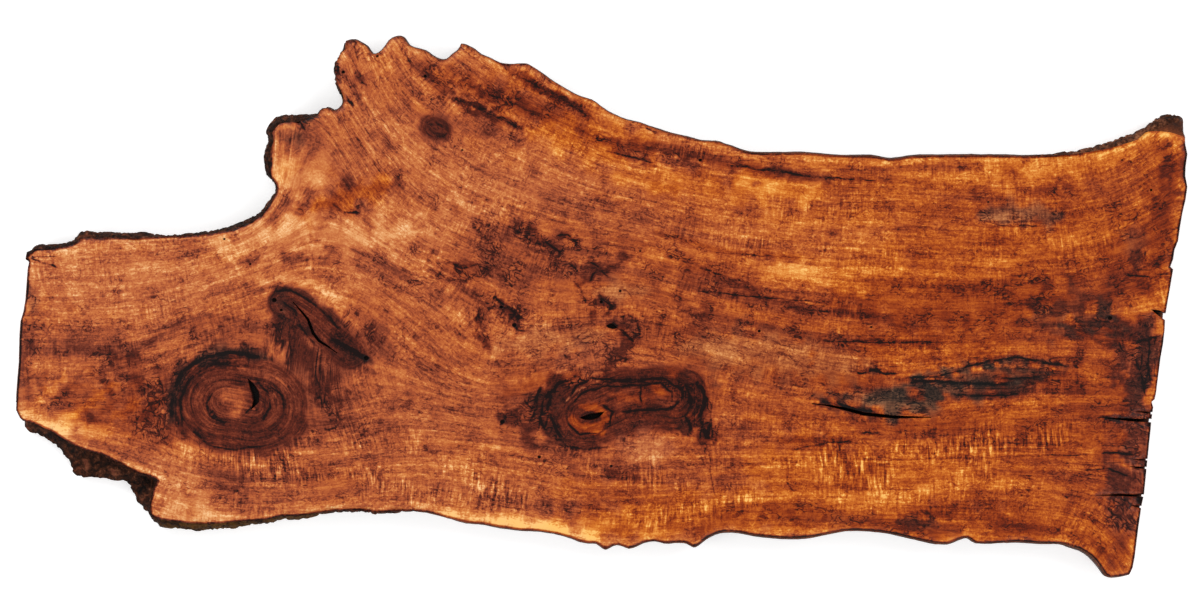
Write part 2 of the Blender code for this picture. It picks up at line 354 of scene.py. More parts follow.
# Broad changes of colour over the face, then the marks on it
ZONES: tuple[Stroke, ...] = (
    Stroke(((40, 275), (200, 285)), 42, 0.1, -0.35),
    Stroke(((60, 348), (130, 352)), 16, -0.12, -0.1),
    Stroke(((70, 400), (150, 415)), 34, -0.09, 0.35),
    Stroke(((215, 245), (300, 235), (360, 235), (420, 232)), 20, 0.22, -0.15),
    Stroke(((340, 290), (400, 240), (470, 215)), 24, 0.07, -0.2),
    Stroke(((290, 140), (310, 185)), 26, 0.05),
    Stroke(((316, 205), (350, 200), (385, 182)), 13, 0.02, 0.9),
    Stroke(((380, 120), (470, 170), (580, 195)), 36, 0.07, -0.2),
    Stroke(((440, 75), (540, 110), (640, 145)), 24, -0.05, 0.4),
    Stroke(((620, 175), (700, 185), (820, 192)), 14, 0.05, 0.45),
    Stroke(((720, 232), (880, 238)), 26, 0.09, -0.05),
    Stroke(((670, 265), (760, 300)), 20, -0.11),
    Stroke(((840, 290), (1060, 300)), 32, -0.09, 0.3),
    Stroke(((690, 345), (860, 365)), 26, -0.01, -0.05, 0.25),
    Stroke(((870, 345), (1000, 348)), 17, 0, 0.5),
    Stroke(((760, 470), (960, 480)), 30, 0.08, 0.45),
    Stroke(((950, 415), (1090, 435)), 28, -0.05, 0.1),
    Stroke(((990, 245), (1120, 225)), 26, -0.02, 0.4),
    Stroke(((1168, 170), (1162, 220), (1150, 290)), 17, -0.14, 0.3),
    Stroke(((990, 166), (1080, 166), (1130, 152)), 9, 0.2, 0.5),
    Stroke(((420, 505), (540, 522), (680, 532)), 11, 0.17, 0.1),
    Stroke(((560, 490), (700, 505)), 24, 0, 0.25),
    Stroke(((480, 240), (610, 262)), 28, -0.1, -0.15),
    Stroke(((160, 470), (200, 505)), 24, 0.12, -0.25),
    Stroke(((26, 412), (80, 428)), 12, 0.15, 0.3),
    Stroke(((1070, 535), (1115, 560)), 18, 0, 0.3),
    Stroke(((560, 365), (615, 345)), 15, -0.07, -0.4),
    Stroke(((625, 445), (665, 450)), 18, 0.14, -0.5, 0.1),
    Stroke(((500, 345), (600, 335)), 18, 0.05, 0, 0.2),
    Stroke(((595, 292), (645, 292)), 12, 0.03, 0, 0.25),
    Stroke(((285, 320), (305, 375)), 17, -0.13, -0.5),
    Stroke(((120, 360), (165, 400)), 22, -0.08, 0.2),
    Stroke(((330, 470), (450, 480)), 24, 0.02),
    Stroke(((540, 130), (620, 160)), 15, 0.08, 0.4),
    # Smaller differences of shade over the face
    Stroke(((165, 512), (250, 515)), 12, 0.06),
    Stroke(((1165, 150), (1176, 190)), 12, -0.08),
    Stroke(((1120, 370), (1135, 382)), 14, -0.05),
    Stroke(((760, 470), (790, 480)), 16, -0.05),
    Stroke(((620, 372), (685, 375)), 16, -0.04),
    Stroke(((466, 66), (480, 80)), 12, 0.06),
    Stroke(((870, 525), (950, 535), (1030, 535), (1120, 545)), 26, 0, 0.35),
    Stroke(((600, 525), (660, 528)), 16, 0.04, 0.25),
    Stroke(((505, 118), (560, 150)), 20, 0.05),
    Stroke(((462, 72), (492, 82)), 15, 0.05),
    Stroke(((475, 180), (482, 168)), 14, -0.05),
    Stroke(((222, 240), (232, 236)), 16, 0.06, 0.15),
    Stroke(((510, 334), (545, 325)), 18, 0.05),
    Stroke(((620, 335), (632, 322)), 14, 0.05),
    Stroke(((515, 432), (535, 445)), 14, 0.05),
    Stroke(((1075, 335), (1095, 322)), 16, -0.08),
    Stroke(((22, 360), (26, 395)), 10, -0.07),
    Stroke(((168, 478), (182, 470)), 16, -0.05),
    Stroke(((628, 430), (640, 418)), 14, -0.05),
    Stroke(((715, 478), (740, 484)), 16, -0.05),
    Stroke(((1020, 422), (1035, 430)), 16, -0.05),
    Stroke(((920, 478), (935, 470)), 14, -0.05),
    Stroke(((480, 525), (600, 535)), 16, 0.04),
    Stroke(((400, 105), (500, 140)), 22, -0.05),
    Stroke(((262, 180), (340, 178)), 20, 0.12),
    Stroke(((360, 175), (400, 220)), 20, 0.06),
    Stroke(((600, 185), (800, 202)), 20, 0.09),
    Stroke(((900, 178), (1050, 182)), 12, 0.07),
    Stroke(((1168, 160), (1160, 215)), 14, -0.1),
    Stroke(((850, 225), (1050, 225)), 20, 0.06),
    Stroke(((200, 276), (290, 270)), 12, 0.1),
    Stroke(((460, 290), (560, 278), (680, 300)), 30, -0.08),
    Stroke(((700, 276), (850, 272), (1000, 276)), 12, 0.09),
    Stroke(((26, 315), (28, 395)), 13, -0.14),
    Stroke(((195, 332), (300, 335)), 20, -0.1),
    Stroke(((560, 330), (690, 330), (700, 390)), 22, -0.09),
    Stroke(((950, 325), (1140, 335)), 20, -0.07),
    Stroke(((150, 380), (185, 385)), 20, -0.07),
    Stroke(((318, 370), (335, 420)), 20, -0.13, -0.2),
    Stroke(((500, 395), (600, 435)), 26, -0.09),
    Stroke(((1060, 380), (1120, 400), (1130, 480)), 26, -0.12),
    Stroke(((40, 428), (100, 434)), 13, 0.16),
    Stroke(((170, 430), (290, 450)), 16, -0.09),
    Stroke(((205, 470), (250, 480)), 18, -0.11),
    Stroke(((155, 512), (240, 520)), 9, 0.14),
    Stroke(((760, 530), (850, 526)), 9, 0.08),
    Stroke(((1000, 530), (1100, 550)), 16, -0.08),
    Stroke(((262, 192), (300, 172), (345, 160)), 24, 0.13),
    Stroke(((262, 228), (320, 218)), 15, 0.1),
    Stroke(((375, 160), (430, 185), (540, 185)), 22, 0.09),
    Stroke(((560, 122), (640, 135)), 15, 0.14, 0.1),
    Stroke(((600, 172), (690, 182)), 11, 0.07),
    Stroke(((740, 184), (830, 196)), 10, 0.14, 0.1),
    Stroke(((600, 222), (660, 228)), 12, 0.07),
    Stroke(((410, 215), (450, 235)), 18, 0.07),
    Stroke(((990, 222), (1080, 230)), 13, 0.07),
    Stroke(((200, 268), (260, 280)), 13, 0.07),
    Stroke(((410, 262), (450, 285)), 16, 0.06),
    Stroke(((750, 262), (830, 282), (960, 278)), 11, 0.1),
    Stroke(((950, 368), (1010, 372)), 10, 0.06),
    Stroke(((45, 420), (110, 432)), 12, 0.14, 0.2),
    Stroke(((400, 415), (450, 432)), 17, 0.1),
    Stroke(((745, 420), (850, 432)), 13, 0.08, 0.2),
    Stroke(((840, 478), (1040, 474)), 17, 0.07, 0.2),
    Stroke(((450, 522), (600, 530)), 10, 0.12, 0.2),
    Stroke(((750, 528), (800, 524)), 9, 0.08),
    Stroke(((1184, 140), (1187, 165), (1185, 190), (1181, 208)), 3.6, -0.4, 0.2, 0.1, 0.7),
    Stroke(((1160, 150), (1172, 195)), 20, 0, 0.4),
    Stroke(((1120, 210), (1115, 300)), 20, -0.08),
    Stroke(((650, 268), (700, 285)), 12, -0.07),
    Stroke(((355, 305), (380, 335), (385, 355)), 17, -0.13, -0.1),
    Stroke(((1080, 330), (1140, 330)), 15, -0.07),
    Stroke(((505, 372), (545, 375)), 13, -0.08, 0.1),
    Stroke(((715, 368), (880, 384)), 11, -0.07),
    Stroke(((160, 418), (185, 438)), 16, -0.08, 0.1),
    Stroke(((500, 425), (535, 440)), 15, -0.09),
    Stroke(((900, 426), (960, 428)), 12, -0.08),
    Stroke(((300, 478), (360, 482)), 16, -0.09, 0.1),
    Stroke(((1100, 455), (1140, 500)), 17, -0.09),
    Stroke(((700, 532), (740, 518)), 12, -0.09),
    Stroke(((900, 530), (960, 534)), 9, -0.07),
    Stroke(((560, 522), (750, 512), (1050, 524)), 19, 0, 0.35),
    Stroke(((24, 275), (20, 330), (17, 400)), 3.4, -0.26, -0.1, 0.1, 0.7),
    # The flame figure at the left-hand end
    Stroke(((40, 400), (62, 376)), 6, 0.13, 0.45),
    Stroke(((70, 420), (98, 398), (112, 385)), 6, 0.13, 0.5),
    Stroke(((112, 420), (140, 400)), 6, 0.1, 0.45),
    Stroke(((30, 352), (38, 372)), 5, 0.14),
    Stroke(((52, 405), (74, 384), (84, 368)), 4, -0.16, 0.1),
    Stroke(((88, 424), (120, 398)), 4, -0.16, 0.2),
    Stroke(((130, 425), (160, 402)), 4.5, -0.15, 0.2),
    Stroke(((45, 356), (56, 340)), 5, -0.13, -0.2),
    Stroke(((100, 370), (125, 356)), 5, -0.12),
    # Light flames below the ringed knot's left-hand side
    Stroke(((168, 450), (178, 490)), 6, 0.16, -0.1),
    Stroke(((184, 440), (192, 470)), 4, 0.13),
    # Lighter and darker bands along the grain
    Stroke(((500, 70), (545, 88)), 11, 0.09, 0.2),
    Stroke(((700, 172), (860, 184), (1080, 176)), 9, 0.07, 0.1),
    Stroke(((720, 262), (800, 275)), 9, 0.06, 0.1),
    Stroke(((730, 222), (800, 226)), 12, 0.06, 0.1),
    Stroke(((800, 330), (860, 330)), 8, 0.05, 0.1),
    Stroke(((940, 268), (1040, 266)), 8, 0.06, 0.1),
    Stroke(((950, 352), (1040, 348)), 7, 0.07, 0.1),
    Stroke(((940, 408), (1060, 402)), 8, 0.06, 0.1),
    Stroke(((455, 470), (500, 480)), 14, 0.06, 0.1),
    Stroke(((440, 512), (520, 526), (600, 538)), 8, 0.08, 0.2),
    Stroke(((770, 520), (850, 516)), 8, 0.07, 0.2),
    Stroke(((600, 330), (650, 312)), 12, 0.08),
    Stroke(((470, 262), (500, 285)), 12, 0.06),
    Stroke(((420, 290), (470, 330)), 14, 0.05),
    Stroke(((560, 100), (640, 128)), 8, 0.06, 0.1),
    Stroke(((60, 375), (90, 372)), 8, 0.09, 0.1),
    Stroke(((600, 420), (650, 425)), 10, -0.1, -0.1),
    Stroke(((300, 420), (345, 425)), 12, -0.08),
    Stroke(((600, 530), (760, 518), (1090, 530)), 17, 0, 0.35),
    Stroke(((900, 240), (1100, 240)), 34, 0, 0.15),
    Stroke(((1142, 328), (1140, 360), (1138, 395)), 22, -0.16, -0.7, 0.1),
    Stroke(((1085, 152), (1120, 142), (1150, 133), (1180, 136)), 4, 0.22, 0.5),
    Stroke(((1176, 140), (1172, 168)), 3, 0.18, 0.4),
    Stroke(((820, 380), (880, 382)), 9, -0.07, 0.1),
    Stroke(((860, 424), (950, 428)), 9, -0.06, 0.1),
    Stroke(((650, 425), (612, 430)), 9, -0.06, -0.1),
    Stroke(((720, 178), (780, 186)), 8, 0.05, 0.1),
    Stroke(((850, 268), (940, 262), (1020, 258)), 9, 0.05, 0.1),
    Stroke(((250, 420), (330, 432)), 12, -0.06),
    Stroke(((270, 180), (300, 165)), 12, 0.03, 0.4),
    Stroke(((1138, 410), (1132, 470), (1126, 520)), 20, -0.03, -0.7),
    Stroke(((1148, 405), (1146, 450), (1140, 500)), 9, -0.07, -0.2),
    Stroke(((430, 190), (500, 215)), 16, -0.03, -0.2),
    Stroke(((460, 122), (492, 132)), 12, -0.08),
    Stroke(((510, 150), (560, 160)), 13, 0.06, 0.1),
    Stroke(((548, 118), (600, 140)), 9, 0.06, 0.1),
    Stroke(((262, 142), (270, 180)), 9, -0.1, -0.2, 0.1),
    Stroke(((270, 136), (300, 130), (318, 122)), 7, -0.12, -0.2, 0.1),
    Stroke(((338, 60), (336, 84)), 4, -0.16, -0.2, 0.1),
    Stroke(((262, 425), (300, 440)), 12, -0.05),
    Stroke(((560, 402), (620, 432)), 10, -0.03),
    Stroke(((716, 500), (800, 492)), 9, 0.07, 0.1),
    Stroke(((620, 362), (680, 362)), 8, 0.05),
    Stroke(((1020, 385), (1090, 396)), 8, -0.03),
    Stroke(((450, 300), (480, 372)), 10, 0.04, 0.1),
    # Small pale specks
    Stroke(((187.5, 491.5), (189, 493)), 1.4, 0.35),
    Stroke(((196, 504), (197, 507)), 1.3, 0.35),
    Stroke(((211, 508), (213, 510)), 1.4, 0.35),
    Stroke(((226, 456), (229, 457)), 1.3, 0.3),
    Stroke(((242, 457), (245, 457)), 1.3, 0.28),
    Stroke(((471, 99), (473, 99)), 1.3, 0.4),
    Stroke(((261, 459), (264, 458)), 1.2, 0.25),
)

MARKS: tuple[Stroke, ...] = (
    # Dark figure right of the middle, with painted shade along its long check
    Stroke(((868, 400), (900, 401), (930, 396)), 16, -0.15, -0.1, 0.3, 0.6),
    Stroke(((930, 389), (980, 388), (1035, 386)), 11, -0.11, -0.1, 0.25, 0.6),
    Stroke(((895, 392), (960, 380), (1040, 372)), 14, -0.08, -0.1, 0.25, 0.6),
    Stroke(((850, 395), (900, 405), (938, 408)), 14, -0.07, -0.1, 0.3, 0.6),
    Stroke(((912, 377), (962, 369), (1018, 358), (1048, 363), (1072, 367)), 4, -0.22, -0.1, 0.3),
    Stroke(((905, 386), (945, 383), (1000, 386), (1040, 378), (1068, 370)), 2.6, -0.16, -0.1, 0.2),
    Stroke(((925, 395), (960, 398), (1015, 396)), 2.6, -0.16, -0.1, 0.2),
    Stroke(((985, 366), (1020, 370), (1050, 374)), 2.6, -0.18, -0.1, 0.2),
    Stroke(((960, 378), (1060, 374)), 11, -0.13),
    # Painted shade along the long check, beside its pit
    Stroke(((815, 404), (845, 410), (880, 417)), 6, -0.22, 0, 0.2),
    Stroke(((812, 396), (848, 398)), 5, -0.2, 0, 0.2),
    Stroke(((978, 216), (1018, 213), (1060, 217)), 11, -0.17, -0.4, 0.38),
    Stroke(((1035, 316), (1085, 312), (1118, 326)), 20, -0.14, -0.2, 0.25, 0.9),
    Stroke(((1060, 326), (1090, 330), (1120, 334)), 5, -0.14, -0.1, 0.2, 0.7),
    Stroke(((1100, 296), (1112, 308), (1126, 326)), 6, -0.16, -0.3, 0.1, 0.7),
    Stroke(((1085, 305), (1112, 290), (1145, 284)), 13, -0.16),
    Stroke(((1146, 325), (1148, 360), (1142, 395)), 15, -0.24, -0.3, 0.12, 0.7),
    Stroke(((1128, 372), (1130, 392)), 13, -0.16, -0.3, 0.1, 0.9),
    Stroke(((1128, 436), (1124, 480), (1120, 525), (1110, 560)), 12, -0.15, -0.5, 0.1, 0.9),
    Stroke(((1132, 225), (1138, 262)), 12, -0.12, -0.3, 0.2),
    # Streaks along the lower edge
    Stroke(((770, 519), (850, 521), (900, 527), (960, 531)), 8, -0.2, 0, 0.1),
    Stroke(((900, 522), (934, 522)), 7, -0.24, 0, 0.2),
    Stroke(((908, 511), (955, 518)), 3.5, -0.15),
    Stroke(((715, 512), (760, 506), (830, 512), (850, 521)), 7, -0.11),
    Stroke(((985, 525), (1060, 530)), 6, -0.1),
    # Streaks running down from the upper lobes
    Stroke(((452, 97), (478, 108), (500, 120), (522, 128)), 5, -0.36, 0.2, 0.1),
    Stroke(((410, 62), (455, 94)), 8, -0.13),
    Stroke(((462, 82), (520, 107), (560, 122), (605, 142)), 6.5, -0.2, 0.2),
    Stroke(((500, 66), (555, 95), (592, 118)), 5.5, -0.2, 0.2),
    Stroke(((530, 82), (580, 108)), 4.5, -0.16, 0.2),
    Stroke(((425, 60), (470, 76), (530, 100)), 6, -0.13),
    Stroke(((600, 138), (660, 150), (740, 166), (830, 181)), 6, -0.22, 0.1),
    Stroke(((612, 150), (658, 167)), 3.5, -0.2),
    Stroke(((768, 168), (800, 177), (830, 179)), 9, -0.13, -0.2, 0.15),
    Stroke(((650, 187), (680, 190)), 6, -0.16, 0.4),
    Stroke(((940, 168), (960, 168)), 7, -0.12, -0.2),
    # Bands along the grain to the right
    Stroke(((640, 240), (700, 268), (760, 294), (800, 308), (880, 316), (980, 318)), 6, -0.14),
    Stroke(((655, 232), (720, 250), (800, 258)), 4, -0.08, 0.3),
    Stroke(((860, 281), (960, 285), (1060, 279), (1110, 268), (1145, 258)), 6, -0.15, 0.1),
    Stroke(((690, 312), (760, 325), (830, 341), (940, 344)), 6, -0.15),
    Stroke(((700, 205), (760, 217), (860, 224)), 3, -0.07),
    Stroke(((840, 183), (900, 182), (1000, 190), (1090, 190)), 4, -0.09),
    Stroke(((780, 440), (850, 441)), 4, -0.12, 0.4),
    Stroke(((1040, 188), (1070, 187)), 5, -0.16),
    # Round the eye knot
    Stroke(((566, 390), (546, 404), (543, 426), (558, 440)), 15, -0.3, -0.1, 0.12, 0.6),
    Stroke(((540, 395), (525, 405)), 9, -0.12, 0, 0.2, 0.6),
    # Three pale hairlines on the eye knot's rim: painted highlights, glints on the oiled face
    Stroke(((566, 402), (572, 394), (584, 387)), 0.9, 0.42, -0.2, 0.4),
    Stroke(((556, 412), (560, 402)), 0.9, 0.3, 0, 0.3),
    Stroke(((596, 381), (610, 378)), 0.9, 0.3, 0, 0.3),
    Stroke(((606, 368), (622, 350), (632, 340)), 7, -0.26, 0, 0.12),
    Stroke(((688, 376), (700, 398), (696, 420), (704, 444)), 13, -0.2, 0, 0.12, 0.7),
    Stroke(((640, 412), (668, 416), (690, 430)), 8, -0.18, 0, 0.12, 0.7),
    Stroke(((700, 438), (718, 436)), 7, -0.28),
    Stroke(((500, 418), (520, 417)), 7, -0.3, 0, 0.1),
    Stroke(((535, 448), (560, 448), (600, 446)), 7, -0.14, 0, 0.12),
    Stroke(((500, 398), (545, 382), (580, 374)), 7, -0.1, 0.3),
    Stroke(((565, 468), (580, 470)), 5, -0.18),
    Stroke(((600, 474), (640, 478)), 4.5, -0.22),
    # Burl and small knots in the middle
    Stroke(((507, 228), (530, 236)), 9, -0.15, -0.1, 0, 0.7),
    Stroke(((545, 240), (562, 252), (576, 246)), 9, -0.15, -0.1, 0, 0.7),
    Stroke(((518, 224), (534, 230), (546, 246)), 3, -0.22, 0.2),
    Stroke(((556, 238), (566, 235), (578, 246)), 2.8, -0.22, 0.2),
    Stroke(((588, 262), (600, 270), (614, 267)), 2.8, -0.2, 0.2),
    Stroke(((574, 286), (592, 279)), 3, -0.16, 0.2),
    Stroke(((494, 298), (507, 307), (521, 317)), 2.8, -0.26, 0.2),
    Stroke(((600, 297), (613, 306), (606, 315)), 2.8, -0.26, 0.2),
    Stroke(((609, 325), (625, 332), (633, 345)), 4, -0.2, 0.2),
    Stroke(((480, 310), (477, 335), (490, 350)), 4, -0.12, 0.2),
    Stroke(((448, 262), (462, 268), (478, 264)), 2.8, -0.18, 0.2),
    Stroke(((436, 272), (452, 280)), 2.8, -0.14, 0.2),
    Stroke(((585, 300), (596, 308), (590, 318)), 2.6, -0.18, 0.2),
    Stroke(((560, 262), (574, 270)), 3, 0.12),
    Stroke(((505, 325), (512, 336), (524, 338)), 2.8, 0.12),
    Stroke(((474, 225), (490, 240), (500, 252)), 3, -0.12, 0.1),
    Stroke(((445, 268), (482, 272)), 11, -0.17, 0.1),
    Stroke(((494, 300), (482, 318), (486, 345)), 6, -0.12),
    Stroke(((498, 305), (520, 318), (520, 328)), 7, -0.15, -0.1),
    Stroke(((560, 275), (596, 272), (608, 282)), 9, -0.12, -0.2),
    Stroke(((600, 296), (606, 306)), 5, -0.2),
    Stroke(((612, 322), (630, 322), (636, 336)), 5, -0.2, -0.3),
    Stroke(((610, 242), (640, 250)), 9, -0.12),
    # The fork
    Stroke(((352, 248), (380, 264), (420, 284)), 5, -0.18),
    Stroke(((376, 172), (400, 170), (398, 184), (372, 188)), 6, -0.18, 0.1),
    Stroke(((300, 205), (312, 235)), 5, -0.14, 0.4),
    Stroke(((286, 138), (304, 145)), 7, -0.16, -0.3, 0.2),
    Stroke(((280, 190), (296, 195)), 5, -0.15),
    Stroke(((330, 170), (355, 186)), 6, -0.12, 0.3),
    Stroke(((355, 70), (362, 84)), 3.5, -0.18),
    Stroke(((418, 68), (432, 80)), 6, -0.18),
    Stroke(((270, 118), (310, 118)), 5, -0.3, 0, 0.3),
    Stroke(((262, 283), (285, 278), (312, 282), (338, 300)), 4.5, 0.2, -0.1),
    Stroke(((240, 262), (290, 258), (340, 262)), 4, -0.12),
    Stroke(((300, 245), (318, 241)), 3, -0.22, 0.3),
    # Round the ringed knot
    Stroke(((170, 422), (174, 392), (190, 366), (212, 355), (240, 352), (266, 358)), 8, -0.28, -0.2, 0.35),
    Stroke(((150, 342), (180, 323), (205, 316), (238, 322)), 4.5, -0.13),
    Stroke(((120, 345), (140, 356)), 8, -0.14),
    Stroke(((104, 380), (112, 398)), 5, -0.16),
    Stroke(((85, 410), (92, 420)), 4, -0.18),
    Stroke(((160, 436), (170, 446)), 7, -0.18, 0.1),
    Stroke(((26, 285), (32, 310)), 8, -0.2, -0.2, 0.2),
    Stroke(((22, 340), (34, 358)), 8, -0.2, -0.3),
    Stroke(((38, 380), (42, 395)), 4, -0.16),
    Stroke(((182, 488), (188, 498)), 5, -0.14, 0.3),
    # Round the lobed knot between them, and small knots
    Stroke(((344, 350), (358, 357), (370, 361)), 8, -0.28, -0.2, 0.2, 0.6),
    Stroke(((276, 298), (284, 296)), 9, -0.22, -0.2, 0.2, 0.6),
    Stroke(((268, 325), (290, 350), (325, 368), (345, 374)), 16, -0.12, -0.3, 0, 0.6),
    Stroke(((272, 302), (282, 318), (300, 335)), 10, -0.07, -0.4, 0.1, 0.6),
    Stroke(((276, 292), (290, 288), (312, 297), (332, 313), (350, 334)), 4, -0.14, -0.3, 0.1),
    Stroke(((305, 350), (322, 378), (330, 400)), 8, -0.12, 0, 0, 0.6),
    Stroke(((322, 372), (330, 392)), 2.6, -0.2),
    Stroke(((314, 376), (318, 395)), 2.4, -0.16),
    Stroke(((1100, 312), (1112, 316)), 7, -0.22, 0, 0.2, 0.6),
    Stroke(((510, 320), (516, 326)), 6, -0.22, 0, 0, 0.6),
    Stroke(((418, 116), (452, 142)), 20, -0.07, -0.1),
    # The heart of the ringed knot, and the orange of the eye knot
    Stroke(((226, 396), (240, 398), (236, 412)), 11, 0.26, 0.1, -0.1, 0.2),
    Stroke(((230, 405), (236, 408)), 4, -0.16),
    Stroke(((255, 395), (262, 405)), 9, -0.13),
    Stroke(((240, 368), (262, 372), (286, 384)), 3.5, 0.16),
    Stroke(((582, 408), (598, 406), (606, 418), (598, 428), (580, 426), (572, 418)), 6, 0.34, 0.9),
    Stroke(((590, 434), (606, 431)), 2.6, 0.24, 0.8),
    Stroke(((612, 394), (640, 398), (668, 393)), 7, 0.12, 0.4),
    Stroke(((648, 388), (664, 390)), 4, 0.12, 0.5),
    Stroke(((668, 370), (682, 372)), 5, 0.12, 0.4),
    Stroke(((684, 412), (690, 418)), 5, 0.2, 0.5),
)

KNOTS: tuple[Knot, ...] = (
    Knot(((226, 402), (238, 404), (254, 407)), 47, 0.27, 0.87, 20),
    Knot(((285, 302), (300, 310), (318, 323), (336, 340), (350, 352)), 16.5, 0.21, 1, 14),
    Knot(((434, 128), (438, 129)), 13, 0.2, 1, 16),
    Knot(((584, 416), (600, 411), (625, 401), (655, 397), (676, 399)), 31, 0.25, 1, 14),
)

